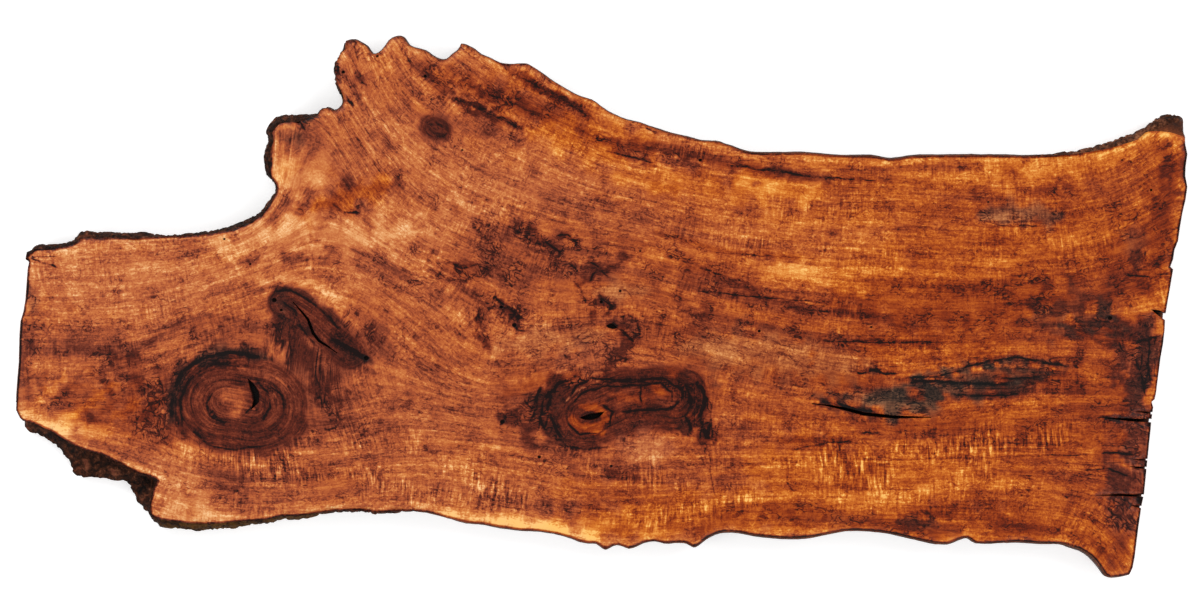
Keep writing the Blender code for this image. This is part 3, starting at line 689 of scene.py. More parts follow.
CRACKS: tuple[Crack, ...] = (
    Crack(((849, 372), (862, 373), (873, 371), (884, 373), (899, 374)), 1, 1),
    Crack(((820, 401), (840, 404), (858, 410), (876, 412)), 1.2, 0.6),
    Crack(((1102, 417), (1118, 419), (1136, 419)), 1.2, 0.7),
    Crack(((870, 371.5), (876, 370), (882, 371)), 1.3, 1),
    Crack(((907, 382), (938, 381), (966, 383), (1009, 385)), 1.1, 0.9),
    Crack(((960, 369), (990, 361), (1018, 357), (1048, 363), (1070, 367)), 0.9, 0.8),
    Crack(((905, 378), (935, 377), (962, 371)), 0.9, 0.7),
    Crack(((950, 394), (980, 396), (1020, 394)), 0.8, 0.6),
    Crack(((1000, 379), (1040, 377)), 0.7, 0.5),
    Crack(((788, 449), (803, 448), (825, 443), (851, 441)), 0.9, 0.55),
    Crack(((860, 433), (882, 434)), 0.9, 0.65),
    Crack(((785, 458), (789, 470), (787, 482), (794, 492)), 0.9, 0.45),
    Crack(((1102, 452.7), (1117, 453), (1132, 454.3)), 0.8, 0.9),
    Crack(((1085, 470), (1110, 468), (1128, 476)), 0.7, 0.7),
    Crack(((30, 258), (40, 261), (57, 267)), 0.8, 0.95),
    Crack(((30, 250), (45, 249), (60, 246)), 1.3, 1),
    Crack(((346, 97), (354, 107)), 1.3, 1),
    Crack(((297, 120), (302, 125), (306, 131)), 1.2, 0.95),
    Crack(((346, 213), (358, 212)), 1, 0.9),
    Crack(((356, 207), (361, 204)), 0.7, 0.7),
    Crack(((1126, 275), (1150, 277)), 0.9, 0.8),
    Crack(((1130, 345), (1146, 338), (1160, 336)), 0.9, 0.8),
    Crack(((1132, 350), (1140, 372), (1146, 396)), 0.8, 0.6),
    Crack(((1150, 335), (1148, 360), (1150, 385)), 0.8, 0.6),
    Crack(((850, 458), (920, 459), (1000, 457), (1100, 454)), 0.6, 0.35),
    Crack(((1000, 443), (1060, 444)), 0.6, 0.3),
    Crack(((690, 290), (760, 297), (830, 303)), 0.7, 0.5),
    Crack(((700, 268), (722, 275)), 0.9, 0.7),
    Crack(((820, 340), (880, 343), (940, 342)), 0.8, 0.5),
    Crack(((720, 164), (800, 175), (880, 181)), 0.9, 0.6),
    Crack(((605, 150), (655, 163)), 0.8, 0.6),
    Crack(((838, 203), (905, 201)), 0.6, 0.35),
    Crack(((690, 250), (760, 256), (860, 259)), 0.6, 0.3),
    Crack(((975, 218), (1000, 226), (1040, 226)), 0.7, 0.5),
    Crack(((700, 382), (711, 405), (712, 440)), 0.7, 0.5),
    Crack(((708, 450), (712, 480), (716, 500)), 0.7, 0.4),
    Crack(((934, 438), (938, 452), (941, 470)), 0.8, 0.5),
    Crack(((568, 400), (576, 386), (592, 379), (630, 380), (662, 378), (682, 390), (684, 402)), 1, 0.9),
    Crack(((572, 404), (584, 392), (604, 387), (640, 385), (660, 383), (672, 392), (672, 404)), 0.8, 0.8),
    Crack(((620, 412), (650, 410), (672, 408), (680, 400)), 0.9, 0.8),
    Crack(((640, 386), (642, 402)), 0.8, 0.7),
    Crack(((602, 404), (612, 412), (610, 426)), 0.9, 0.7),
    Crack(((568, 424), (580, 434), (598, 434), (610, 426)), 0.8, 0.6),
    Crack(((545, 398), (558, 384), (580, 375)), 1.4, 0.9),
    Crack(((213, 410), (216, 418)), 0.8, 0.8),
    Crack(((246, 413), (252, 407)), 0.9, 0.9),
    Crack(((1062, 494), (1068, 498)), 0.8, 0.8),
    Crack(((646, 128), (658, 134)), 1, 0.9),
    Crack(((1118, 340), (1122, 350), (1132, 356)), 0.7, 0.5),
    # Dark threads in the streaks below the upper lobes
    Crack(((452, 97), (470, 104), (490, 113), (505, 120), (522, 128)), 1.8, 0.46),
    Crack(((466, 84), (520, 107), (560, 122), (600, 140)), 1, 0.25),
    Crack(((500, 66), (555, 95), (592, 118)), 1, 0.25),
    Crack(((530, 80), (580, 106)), 0.8, 0.25),
    Crack(((768, 168), (800, 175), (830, 178)), 1, 0.31),
    # Curled threads in the burl
    Crack(((508, 226), (520, 232), (532, 234)), 1.1, 0.4),
    Crack(((545, 240), (556, 250), (566, 256)), 1.1, 0.4),
    Crack(((556, 236), (568, 234), (578, 244)), 0.8, 0.37),
    Crack(((590, 262), (602, 270), (614, 266)), 0.8, 0.37),
    Crack(((600, 298), (613, 306), (606, 315)), 1, 0.43),
    Crack(((494, 298), (507, 307), (521, 317)), 1, 0.43),
    Crack(((448, 262), (462, 268), (478, 264)), 0.8, 0.31),
    Crack(((436, 270), (450, 282)), 0.7, 0.25),
    Crack(((520, 238), (530, 250)), 0.7, 0.25),
    Crack(((500, 240), (508, 252)), 0.7, 0.25),
    Crack(((612, 322), (622, 331), (634, 342)), 1.3, 0.37),
    Crack(((575, 300), (590, 305)), 0.6, 0.25),
    Crack(((484, 312), (480, 330), (490, 348)), 0.8, 0.22),
    Crack(((508, 324), (511, 317), (520, 316), (527, 322)), 1.2, 0.45),
    Crack(((514, 326), (519, 331), (527, 330)), 1.2, 0.5),
    Crack(((521, 224), (526, 221), (533, 224)), 0.8, 0.3),
    Crack(((539, 243), (543, 252), (551, 260)), 0.9, 0.35),
    Crack(((575, 235), (580, 239), (579, 246)), 0.8, 0.35),
    Crack(((589, 281), (593, 273), (602, 271), (610, 279)), 0.9, 0.4),
    Crack(((619, 289), (627, 291), (634, 300)), 0.9, 0.35),
    Crack(((618, 318), (628, 315), (636, 319), (640, 331), (641, 346)), 1, 0.45),
    Crack(((573, 280), (582, 292), (588, 306)), 0.8, 0.3),
    Crack(((468, 305), (470, 325), (478, 346)), 0.9, 0.25),
    Crack(((476, 300), (480, 320), (488, 340)), 0.8, 0.25),
    Crack(((548, 268), (556, 264), (563, 270), (558, 277)), 0.7, 0.3),
    Crack(((566, 268), (574, 266), (578, 273)), 0.7, 0.3),
    Crack(((524, 258), (530, 254), (536, 260)), 0.7, 0.25),
    # Dark streaks and flakes on the upper lobes
    Crack(((353, 43), (356, 51), (359, 60)), 0.9, 0.45),
    Crack(((358, 43), (363, 50), (367, 59)), 0.9, 0.4),
    Crack(((364, 46), (369, 53), (373, 62)), 0.9, 0.5),
    Crack(((371, 50), (376, 56), (384, 53)), 1.6, 0.55),
    Crack(((347, 43), (352, 40), (358, 41)), 1.2, 0.5),
    Crack(((338, 62), (337, 74), (341, 84)), 1.4, 0.45),
    Crack(((356, 76), (361, 80), (366, 85)), 1, 0.4),
    Crack(((396, 38), (402, 39), (408, 47)), 1.4, 0.45),
    Crack(((408, 56), (411, 63), (410, 71)), 0.9, 0.35),
    Crack(((537, 79), (543, 81), (549, 85)), 1, 0.5),
    Crack(((498, 64), (514, 66), (530, 64), (548, 76), (562, 84)), 0.9, 0.4),
    Crack(((286, 122), (293, 120), (300, 124), (306, 131)), 1.5, 0.5),
    Crack(((306, 119), (314, 117), (322, 118)), 1.3, 0.5),
    # Dark growth lines round the eye knot
    Crack(((541, 385), (536, 400), (540, 420), (550, 438)), 1.4, 0.6),
    Crack(((552, 392), (548, 410), (556, 430), (566, 442)), 1.2, 0.6),
    Crack(((696, 380), (706, 398), (700, 418), (708, 440)), 1.6, 0.7),
    Crack(((684, 384), (692, 400), (686, 416), (694, 434)), 1.2, 0.6),
    Crack(((560, 445), (585, 450), (610, 446)), 1, 0.4),
    Crack(((524, 400), (534, 412), (530, 425)), 1, 0.5),
    Crack(((498, 412), (506, 418), (500, 426)), 1.4, 0.7),
    # Dark growth lines in the lobed knot and the ringed one
    Crack(((274, 292), (290, 290), (308, 300), (326, 314), (340, 330)), 1, 0.4),
    Crack(((282, 300), (296, 312), (303, 330), (316, 346)), 0.9, 0.4),
    Crack(((330, 338), (345, 346), (362, 356), (370, 360)), 2, 0.6),
    Crack(((172, 420), (172, 396), (182, 372), (204, 357), (234, 352), (262, 358)), 1.8, 0.6),
    Crack(((182, 428), (180, 400), (190, 378), (212, 364), (240, 362)), 1.2, 0.5),
    Crack(((255, 380), (268, 392), (270, 408), (262, 422)), 1.2, 0.5),
    Crack(((268, 384), (282, 396), (284, 410)), 1, 0.4),
    Crack(((192, 430), (210, 446), (238, 450), (268, 444)), 0.9, 0.4),
    Crack(((212, 392), (206, 404), (212, 418), (228, 424)), 1, 0.45),
)

# The four pits that the CAD solid has as well, then small holes
PITS: tuple[Pit, ...] = (
    Pit(((812, 403.5), (828, 405.5), (843, 408.5), (864, 414), (894, 417), (931, 417.4)), 1.7, 0.012),
    Pit(((293, 302), (301, 311), (308, 319.5), (313, 333), (319, 341), (328, 346.5), (337, 353)), 1.4, 0.01),
    Pit(((248, 379), (251, 384), (255.5, 393), (256, 401), (251.5, 409)), 3.6, 0.008),
    Pit(((580, 418), (586, 417.5), (596, 416), (604, 412)), 3.2, 0.009),
    Pit(((606, 326), (611, 326), (617, 328)), 2.6, 0.005),
    Pit(((274, 300),), 2.2, 0.004),
    Pit(((281, 310),), 1.3, 0.003),
    Pit(((366, 358),), 2.2, 0.004),
    Pit(((601, 302),), 1.5, 0.003),
    Pit(((501, 307),), 1.5, 0.003),
    Pit(((514, 325),), 2, 0.003),
    Pit(((502, 422),), 2.2, 0.003),
    Pit(((539, 457),), 1.5, 0.003),
    Pit(((700, 160),), 1.5, 0.003),
    Pit(((224, 239),), 1, 0.003),
    Pit(((250, 264),), 0.9, 0.003),
    Pit(((425, 76),), 1.5, 0.003),
    Pit(((431, 99),), 0.8, 0.002),
    Pit(((462, 150),), 0.9, 0.002),
    Pit(((606, 110),), 1, 0.002),
    Pit(((633, 122),), 1, 0.002),
    Pit(((759, 331),), 1.3, 0.003),
    Pit(((739, 280),), 0.9, 0.002),
    Pit(((1151, 190),), 1.2, 0.003),
    Pit(((1131, 162),), 0.8, 0.002),
    Pit(((1122, 160),), 0.8, 0.002),
    Pit(((988, 202),), 0.8, 0.002),
    Pit(((293, 119), (298, 121)), 2.2, 0.004),
    Pit(((377, 56),), 1.2, 0.003),
    Pit(((343, 72),), 1.6, 0.003),
    Pit(((640, 251),), 0.9, 0.002),
    Pit(((620, 291),), 1.2, 0.002),
    Pit(((871, 327),), 1, 0.002),
    Pit(((1110, 318),), 2, 0.003),
    Pit(((611, 466),), 1.2, 0.002),
)

# Where the grain ripples across, as it does under a curl
RIPPLES: tuple[Stroke, ...] = (
    Stroke(((190, 455), (300, 465), (400, 470), (520, 500)), 26, 1),
    Stroke(((590, 470), (700, 480)), 24, 0.6),
    Stroke(((780, 465), (900, 470), (960, 455), (1060, 440)), 34, 1),
    Stroke(((720, 240), (860, 225), (960, 230)), 32, 0.7),
    Stroke(((640, 160), (720, 150)), 12, 0.7),
    Stroke(((1000, 230), (1120, 240)), 26, 0.5),
    Stroke(((470, 370), (520, 380)), 12, 0.5),
    Stroke(((260, 265), (330, 268)), 10, 0.5),
    Stroke(((720, 430), (740, 480)), 14, 0.6),
    Stroke(((300, 440), (420, 445)), 16, 0.8),
    Stroke(((480, 500), (640, 520), (760, 500)), 16, 0.8),
    Stroke(((1080, 480), (1110, 520)), 14, 0.6),
)

# The sawn silhouette at the right-hand end, which the end checks open through
SAWN_LINE: Path = ((1166.8, 306), (1164, 330), (1155, 399), (1152, 412), (1150.9, 430), (1148, 457.6),
                   (1144.4, 493.8), (1139, 527))


@dataclass
class GrainField:
    """Two smooth measures over the face: how far along the grain a place is, and how far across.

    Each is a plane plus round bumps, fitted so that it rises along, or across, the drawn lines.

    Args:
        lines: The drawn grain lines, in pixels.
        spacing: The distance between the bumps' middles, in pixels.
        reach: The size of a bump, in pixels.
        easing: How strongly the fit is kept smooth.
        columns: Where the bumps' middles start and end across the picture, in pixels.
        rows: The same down the picture.
        step: The distance between the samples on a line, in pixels.
        lift: The height of a bump that has a weight of 1, in pixels.
    """

    lines: tuple[Path, ...] = GRAIN_LINES
    spacing: float = 55.0
    reach: float = 75.0
    easing: float = 0.03
    columns: tuple[float, float] = (-10.0, 1230.0)
    rows: tuple[float, float] = (20.0, 610.0)
    step: float = 20.0
    lift: float = 100.0
    centres: np.ndarray = field(init=False)
    weights: dict[str, np.ndarray] = field(init=False)

    def __post_init__(self) -> None:
        """Fit both measures to the lines."""
        columns = np.arange(*self.columns, self.spacing)
        rows = np.arange(*self.rows, self.spacing)
        self.centres = np.array([(column, row) for row in rows for column in columns])
        places, along = self._samples()
        slope_x, slope_y = self._slopes(places)
        forward = along[:, :1] * slope_x + along[:, 1:] * slope_y
        sideways = -along[:, 1:] * slope_x + along[:, :1] * slope_y
        none, one = np.zeros(len(places)), np.ones(len(places))
        self.weights = {
            "along": self._fit(forward, one, sideways, none),
            "across": self._fit(sideways, one, forward, none),
        }

    def _samples(self) -> tuple[np.ndarray, np.ndarray]:
        """Step along every line.

        Returns:
            The places in rows, and the unit direction of the line at each.
        """
        places, directions = [], []
        for line in self.lines:
            for start, end in zip(line, line[1:]):
                step = np.array(end, dtype=float) - np.array(start, dtype=float)
                count = max(1, round(float(np.hypot(*step)) / self.step))
                for index in range(count):
                    places.append(np.array(start) + step * (index + 0.5) / count)
                    directions.append(step / np.hypot(*step))
        return np.array(places), np.array(directions)

    def _slopes(self, places: np.ndarray) -> tuple[np.ndarray, np.ndarray]:
        """Work out how fast the plane's and the bumps' terms rise.

        Args:
            places: The places in rows, in pixels.

        Returns:
            Each term's slope at each place across the picture, and down it.
        """
        gap_x = places[:, :1] - self.centres[:, 0]
        gap_y = places[:, 1:] - self.centres[:, 1]
        bump = np.exp(-(gap_x ** 2 + gap_y ** 2) / self.reach ** 2)
        rate = -2.0 / self.reach ** 2 * self.lift
        one, none = np.ones((len(places), 1)), np.zeros((len(places), 1))
        return (np.hstack((one, none, bump * gap_x * rate)),
                np.hstack((none, one, bump * gap_y * rate)))

    def _fit(self, rise: np.ndarray, risen: np.ndarray, level: np.ndarray,
             flat: np.ndarray) -> np.ndarray:
        """Fit one measure: it rises by one a pixel one way and stays level the other way.

        Args:
            rise: The terms' slopes the way that it rises.
            risen: The slope wanted there.
            level: The terms' slopes the way that it stays level.
            flat: The slope wanted there.

        Returns:
            The weight of each term.
        """
        ease = self.easing * np.eye(rise.shape[1])
        ease[:2] = 0.0
        table = np.vstack((0.5 * rise, 1.5 * level, ease * math.sqrt(len(rise))))
        wanted = np.concatenate((0.5 * risen, 1.5 * flat, np.zeros(len(ease))))
        return np.linalg.lstsq(table, wanted, rcond=None)[0]

    def at(self, places: np.ndarray) -> tuple[np.ndarray, np.ndarray]:
        """Read both measures.

        Args:
            places: The places in rows, in pixels.

        Returns:
            How far along the grain and how far across it each is, in pixels.
        """
        found = []
        for weights in self.weights.values():
            total = places @ weights[:2]
            for weight, centre in zip(weights[2:], self.centres):
                gap = places - centre
                total += self.lift * weight * np.exp(-(gap ** 2).sum(axis=1) / self.reach ** 2)
            found.append(total)
        return found[0], found[1]


@dataclass
class Markings:
    """Works out what the slab carries at its vertices: the grain, tones, knots and cracks.

    Args:
        picture: Turns metres into pixels; not used.
        wander: The noise that makes the marks' edges ragged.
        fine_wander: A finer one for narrow marks.
        plain_ripple: How strongly the grain ripples where no curl is drawn.
        crack_reach: How far from a crack its shade can reach, in pixels.
        check_from: The column that the end checks start to the right of, in pixels.
    """

    picture: Picture
    wander: WaveNoise = WaveNoise(size=16.0, seed=4)
    fine_wander: WaveNoise = WaveNoise(size=6.0, seed=9)
    plain_ripple: float = 0.34
    crack_reach: float = 9.0
    check_from: float = 1080.0

    def weight(self, places: np.ndarray, stroke: Stroke) -> np.ndarray:
        """Work out how strongly a stroke acts at each place.

        Args:
            places: The places in rows, in pixels.
            stroke: The stroke.

        Returns:
            A weight from 0 to 1 for each place.
        """
        weight = np.zeros(len(places))
        knots = np.array(stroke.path)
        margin = stroke.half * 2.2 + 2.0
        near = ((places >= knots.min(axis=0) - margin) & (places <= knots.max(axis=0) + margin)).all(axis=1)
        if not near.any():
            return weight
        spots = places[near]
        beside = nearest_on_path(spots, stroke.path)
        noise_here = self.wander.at(spots) if stroke.half > 7.0 else self.fine_wander.at(spots)
        taper = 1.0 - 0.5 * np.abs(2.0 * beside.share - 1.0) ** 3
        noise_here = noise_here + 0.5 * self.fine_wander.at(spots)
        half = stroke.half * taper * (1.0 + stroke.ragged * noise_here)
        # Hairlines, the painted highlights by the eye knot, keep one width, because the noise would break
        # them up
        if stroke.half < 1.0:
            weight[near] = smooth_step(beside.distance, 1.5, 0.0)
        else:
            weight[near] = smooth_step(beside.distance / np.maximum(half, 0.6), 1.5, 0.25)
        return weight

    def tones(self, places: np.ndarray) -> np.ndarray:
        """Add up the strokes' changes, on wood that turns warmer from left to right.

        Args:
            places: The places in rows, in pixels.

        Returns:
            The change of light, warmth and grey at each place.
        """
        total = np.zeros((len(places), 3))
        for stroke in ZONES + MARKS:
            change = np.array((stroke.light, stroke.warm, stroke.grey))
            total += self.weight(places, stroke)[:, None] * change
        total[:, 1] += 0.80 * smooth_step(places[:, 0], 330.0, 1050.0) - 0.08
        return total

    def knots(self, places: np.ndarray) -> np.ndarray:
        """Find the knot that each place lies in.

        Args:
            places: The places in rows, in pixels.

        Returns:
            Each place's distance from the knot's spine in pixels, how far inside the knot it is, from 0
            to 1, and the knot's lightness.
        """
        found = np.zeros((len(places), 3))
        found[:, 2] = 0.3
        for knot in KNOTS:
            beside = nearest_on_path(places, knot.spine, knot.squeeze)
            distance = beside.distance + 0.07 * knot.reach * self.wander.at(places)
            inside = smooth_step(distance, knot.reach + knot.fade * 0.5, knot.reach - knot.fade * 0.5)
            mine = inside > found[:, 1]
            found[mine, 0] = beside.distance[mine]
            found[mine, 1] = inside[mine]
            found[mine, 2] = knot.light
        return found

    def ripples(self, places: np.ndarray) -> np.ndarray:
        """Say how strongly the grain ripples across.

        Args:
            places: The places in rows, in pixels.

        Returns:
            The strength at each place, from 0 to 1.
        """
        total = np.full(len(places), self.plain_ripple)
        for stroke in RIPPLES:
            total = np.maximum(total, stroke.light * self.weight(places, stroke))
        return total

    def cracks(self, places: np.ndarray) -> np.ndarray:
        """Find the crack nearest to each place.

        Args:
            places: The places in rows, in pixels.

        Returns:
            Each place's signed distance to the crack and half the crack's width, in pixels, and how dark
            the crack is, which fades at its ends and away from it.
        """
        found = np.zeros((len(places), 3))
        found[:, 0], found[:, 1] = self.crack_reach, 1.0
        nearest = np.full(len(places), self.crack_reach)
        for crack in CRACKS:
            beside = nearest_on_path(places, crack.path)
            mine = beside.distance < nearest
            nearest[mine] = beside.distance[mine]
            found[mine, 0] = beside.side[mine]
            found[mine, 1] = crack.half
            ends = smooth_step(1.0 - np.abs(2.0 * beside.share[mine] - 1.0), 0.0, 0.12)
            fade = smooth_step(beside.distance[mine], self.crack_reach - 0.5, 5.0)
            found[mine, 2] = crack.depth * ends * fade
        return found

    def pit_depths(self, places: np.ndarray) -> tuple[np.ndarray, np.ndarray]:
        """Work out how deep the pits are at each place.

        Args:
            places: The places in rows, in pixels.

        Returns:
            The depth in metres, and how far inside a pit the place is, from 0 to 1.
        """
        depths, inside = np.zeros(len(places)), np.zeros(len(places))
        for pit in PITS:
            beside = nearest_on_path(places, pit.line)
            taper = 1.0 - np.abs(2.0 * beside.share - 1.0) ** 2 if len(pit.path) > 2 else 1.0
            half = np.maximum(pit.half * taper, 0.35)
            here = smooth_step(beside.distance / half, 1.25, 0.35)
            depths = np.maximum(depths, pit.depth * here)
            inside = np.maximum(inside, smooth_step(beside.distance / half, 1.35, 0.6))
        return depths, inside

    def in_checks(self, places: np.ndarray) -> np.ndarray:
        """Say how far into an end check each place is.

        Args:
            places: The places in rows, in pixels.

        Returns:
            0 on the sawn end itself, and 1 well inside a check.
        """
        line = np.array(SAWN_LINE)
        gap = np.interp(places[:, 1], line[:, 1], line[:, 0]) - places[:, 0]
        beside = (places[:, 1] > line[0, 1]) & (places[:, 1] < line[-1, 1])
        return smooth_step(gap, 1.2, 3.0) * (beside & (places[:, 0] > self.check_from))


# Stretches of the silhouette that carry bark, and those that were sawn, with how far each reaches
BARK_STRETCHES: tuple[tuple[Path, float], ...] = (
    (((24, 254), (34, 246), (60, 243), (84, 231), (140, 232), (210, 230), (257, 212), (271, 190),
      (262, 168), (264, 140), (270, 121), (300, 114), (317, 113)), 11.0),
    (((341, 97), (333, 80), (334, 58), (342, 47)), 7.0),
    (((1045, 152), (1100, 144), (1134, 131), (1160, 117), (1166, 115)), 13.0),
    (((409, 513), (340, 514), (280, 521), (200, 531), (155, 522)), 9.0),
    (((155, 522), (135, 500), (110, 478), (76, 472), (52, 446), (22, 424)), 26.0),
)
SAWN_STRETCHES: tuple[tuple[Path, float], ...] = (
    (((19, 417), (16, 405), (18, 360), (20, 321), (28, 262)), 7.0),
    (((1187, 155), (1182, 212), (1173, 266), (1164, 330), (1155, 399)), 14.0),
    (((1152, 407), (1120, 418), (1146, 462), (1110, 495), (1144, 497), (1133, 567)), 24.0),
)


def on_stretch(spots: np.ndarray, stretches: tuple[tuple[Path, float], ...]) -> np.ndarray:
    """Say which places lie on any of some stretches of the edge.

    Args:
        spots: The places in rows, in pixels.
        stretches: Each stretch's path and how far it reaches, in pixels.

    Returns:
        Whether each place does.
    """
    found = np.zeros(len(spots), dtype=bool)
    for path, reach in stretches:
        found |= nearest_on_path(spots, path).distance < reach
    return found


@dataclass
class SlabShape:
    """The slab's visible mesh: the CAD solid's wall made finer, with new, even faces.

    Args:
        source: The CAD solid.
        picture: Turns metres into pixels.
        markings: Works out the pits and what the vertices carry.
        face_cell: The size of the face's cells, in metres.
        underside_cell: The size of the underside's cells, in metres.
        relief: How deep the bark's relief goes, in metres.
        plate: The size of the bark's plates, in metres.
        flake: The size of the flakes on them.
        waves: How deep the slight waves of the grown edge go, in metres.
        margins: How far round a pit each step of the refining reaches, in pixels.
        narrow: The half width below which a mark gets finer cells, in pixels.
        smooth_below: The angle between faces above which their edge stays sharp, in degrees.
    """

    source: bpy.types.Object
    picture: Picture
    markings: Markings
    face_cell: float = 0.0056
    underside_cell: float = 0.014
    relief: float = 0.0030
    plate: float = 0.011
    flake: float = 0.0045
    waves: float = 0.0006
    margins: tuple[float, ...] = (6.0, 2.8, 1.4, 0.5)
    narrow: float = 5.5
    smooth_below: float = 48.0
    top: float = field(init=False)
    shape: bmesh.types.BMesh = field(init=False)

    def __post_init__(self) -> None:
        """Read the height of the top face."""
        self.top = self.picture.high.z

    def build(self) -> bpy.types.Object:
        """Make the mesh and its object.

        Returns:
            The new object, without materials.
        """
        self.shape = bmesh.new()
        self.shape.from_mesh(self.source.data)
        bmesh.ops.remove_doubles(self.shape, verts=self.shape.verts[:], dist=TOUCH)
        self._keep_wall()
        self._split_wall()
        rims = self._rims()
        self._carve_bark()
        self._fill(rims[1], self.top, self.face_cell)
        self._fill(rims[0], self.picture.low.z, self.underside_cell)
        bmesh.ops.recalc_face_normals(self.shape, faces=self.shape.faces[:])
        self._sort_surfaces()
        self._refine()
        big = [face for face in self.shape.faces if len(face.verts) > 4]
        bmesh.ops.triangulate(self.shape, faces=big)
        return self._make_object()

    def _height(self, vertex: bmesh.types.BMVert) -> float:
        """Give a vertex's height above the underside."""
        return vertex.co.z - self.picture.low.z

    def _keep_wall(self) -> None:
        """Take away the two faces and the pits, and keep the wall between the faces."""
        caps = [face for face in self.shape.faces
                if all(vertex.co.z > self.top - TOUCH for vertex in face.verts)
                or all(self._height(vertex) < TOUCH for vertex in face.verts)]
        bmesh.ops.delete(self.shape, geom=caps, context="FACES")
        feet = [vertex for vertex in self.shape.verts if self._height(vertex) < TOUCH]
        kept: set[bmesh.types.BMVert] = set()
        waiting = feet[:1]
        while waiting:
            vertex = waiting.pop()
            if vertex in kept:
                continue
            kept.add(vertex)
            waiting += [edge.other_vert(vertex) for edge in vertex.link_edges]
        loose = [vertex for vertex in self.shape.verts if vertex not in kept]
        bmesh.ops.delete(self.shape, geom=loose, context="VERTS")
        LOG.info("wall: %d vertices", len(self.shape.verts))

    def _split_wall(self) -> None:
        """Turn the wall's triangles to squares, then split them, the bark's twice."""
        bmesh.ops.join_triangles(self.shape, faces=self.shape.faces[:], angle_face_threshold=3.1,
                                 angle_shape_threshold=3.1)
        bmesh.ops.subdivide_edges(self.shape, edges=self.shape.edges[:], cuts=1, use_grid_fill=True)
        middles = np.array([tuple((edge.verts[0].co + edge.verts[1].co) / 2.0) for edge in self.shape.edges])
        barky = on_stretch(self.picture.pixels(middles), BARK_STRETCHES)
        chosen = [edge for edge, bark in zip(self.shape.edges[:], barky) if bark]
        bmesh.ops.subdivide_edges(self.shape, edges=chosen, cuts=1, use_grid_fill=True)

    def _rims(self) -> list[list[bmesh.types.BMEdge]]:
        """Find the wall's rims.

        Returns:
            The edges of the lower rim, and of the upper one.
        """
        open_edges = [edge for edge in self.shape.edges if edge.is_boundary]
        lower = [edge for edge in open_edges if self._height(edge.verts[0]) < TOUCH]
        upper = [edge for edge in open_edges if edge.verts[0].co.z > self.top - TOUCH]
        LOG.info("rims: %d lower and %d upper edges", len(lower), len(upper))
        return [lower, upper]

    def _carve_bark(self) -> None:
        """Carve plates and furrows into the bark, always inwards, and slight waves elsewhere."""
        inner = [vertex for vertex in self.shape.verts if not vertex.is_boundary]
        spots = self.picture.pixels(np.array([tuple(vertex.co) for vertex in inner]))
        barky = on_stretch(spots, BARK_STRETCHES)
        sawn = on_stretch(spots, SAWN_STRETCHES)
        self.shape.normal_update()
        moves = []
        for vertex, bark, cut in zip(inner, barky, sawn):
            place = Vector((vertex.co.x, vertex.co.y, vertex.co.z * 0.6))
            plates = abs(noise.noise(place / self.plate)) + 0.5 * abs(noise.noise(place / self.flake))
            depth = self.relief * (1.0 - min(1.0, 1.9 * plates)) if bark else self.waves * plates
            across = Vector((vertex.normal.x, vertex.normal.y, 0.0))
            moves.append(across * (0.0 if cut and not bark else -depth))
        for vertex, move in zip(inner, moves):
            vertex.co += move

    def _fill(self, rim: list[bmesh.types.BMEdge], height: float, cell: float) -> None:
        """Fill one rim with an even grid, and join the grid to the rim with triangles.

        Args:
            rim: The rim's edges.
            height: The height of the face, in metres.
            cell: The size of the grid's cells, in metres.
        """
        low, high = self.picture.low, self.picture.high
        columns, rows = round((high.x - low.x) / cell), round((high.y - low.y) / cell)
        made = bmesh.ops.create_grid(self.shape, x_segments=columns, y_segments=rows, size=0.5)["verts"]
        bmesh.ops.scale(self.shape, verts=made, vec=(high.x - low.x, high.y - low.y, 1.0))
        bmesh.ops.translate(self.shape, verts=made,
                            vec=((low.x + high.x) / 2.0, (low.y + high.y) / 2.0, height))
        inside = self._inside(np.array([tuple(vertex.co) for vertex in made]), rim, 0.75 * cell)
        outer = [vertex for vertex, kept in zip(made, inside) if not kept]
        bmesh.ops.delete(self.shape, geom=outer, context="VERTS")
        grid = [vertex for vertex, kept in zip(made, inside) if kept]
        while True:
            pinched = [vertex for vertex in grid if vertex.is_valid
                       and (not vertex.link_faces or sum(edge.is_boundary for edge in vertex.link_edges) > 2)]
            if not pinched:
                break
            bmesh.ops.delete(self.shape, geom=pinched, context="VERTS")
        border = {edge for vertex in grid if vertex.is_valid for edge in vertex.link_edges
                  if edge.is_boundary}
        bmesh.ops.triangle_fill(self.shape, use_beauty=True, edges=list(border) + rim,
                                normal=(0.0, 0.0, 1.0))

    def _inside(self, places: np.ndarray, rim: list[bmesh.types.BMEdge], margin: float) -> np.ndarray:
        """Say which places lie inside a rim, and not too near it.

        Args:
            places: The places in rows, in metres.
            rim: The rim's edges.
            margin: How near to the rim is too near, in metres.

        Returns:
            Whether each place does.
        """
        ends = np.array([(*edge.verts[0].co.xy, *edge.verts[1].co.xy) for edge in rim])
        crossings = np.zeros(len(places), dtype=int)
        for start_x, start_y, end_x, end_y in ends:
            if start_y == end_y:
                continue
            spans = (places[:, 1] >= min(start_y, end_y)) & (places[:, 1] < max(start_y, end_y))
            share = (places[:, 1] - start_y) / (end_y - start_y)
            crossings += spans & (places[:, 0] < start_x + share * (end_x - start_x))
        tree = KDTree(len(ends))
        for index, (start_x, start_y, _, _) in enumerate(ends):
            tree.insert((start_x, start_y, 0.0), index)
        tree.balance()
        inside = crossings % 2 == 1
        for index in np.nonzero(inside)[0]:
            inside[index] = tree.find((places[index, 0], places[index, 1], 0.0))[2] > margin
        return inside

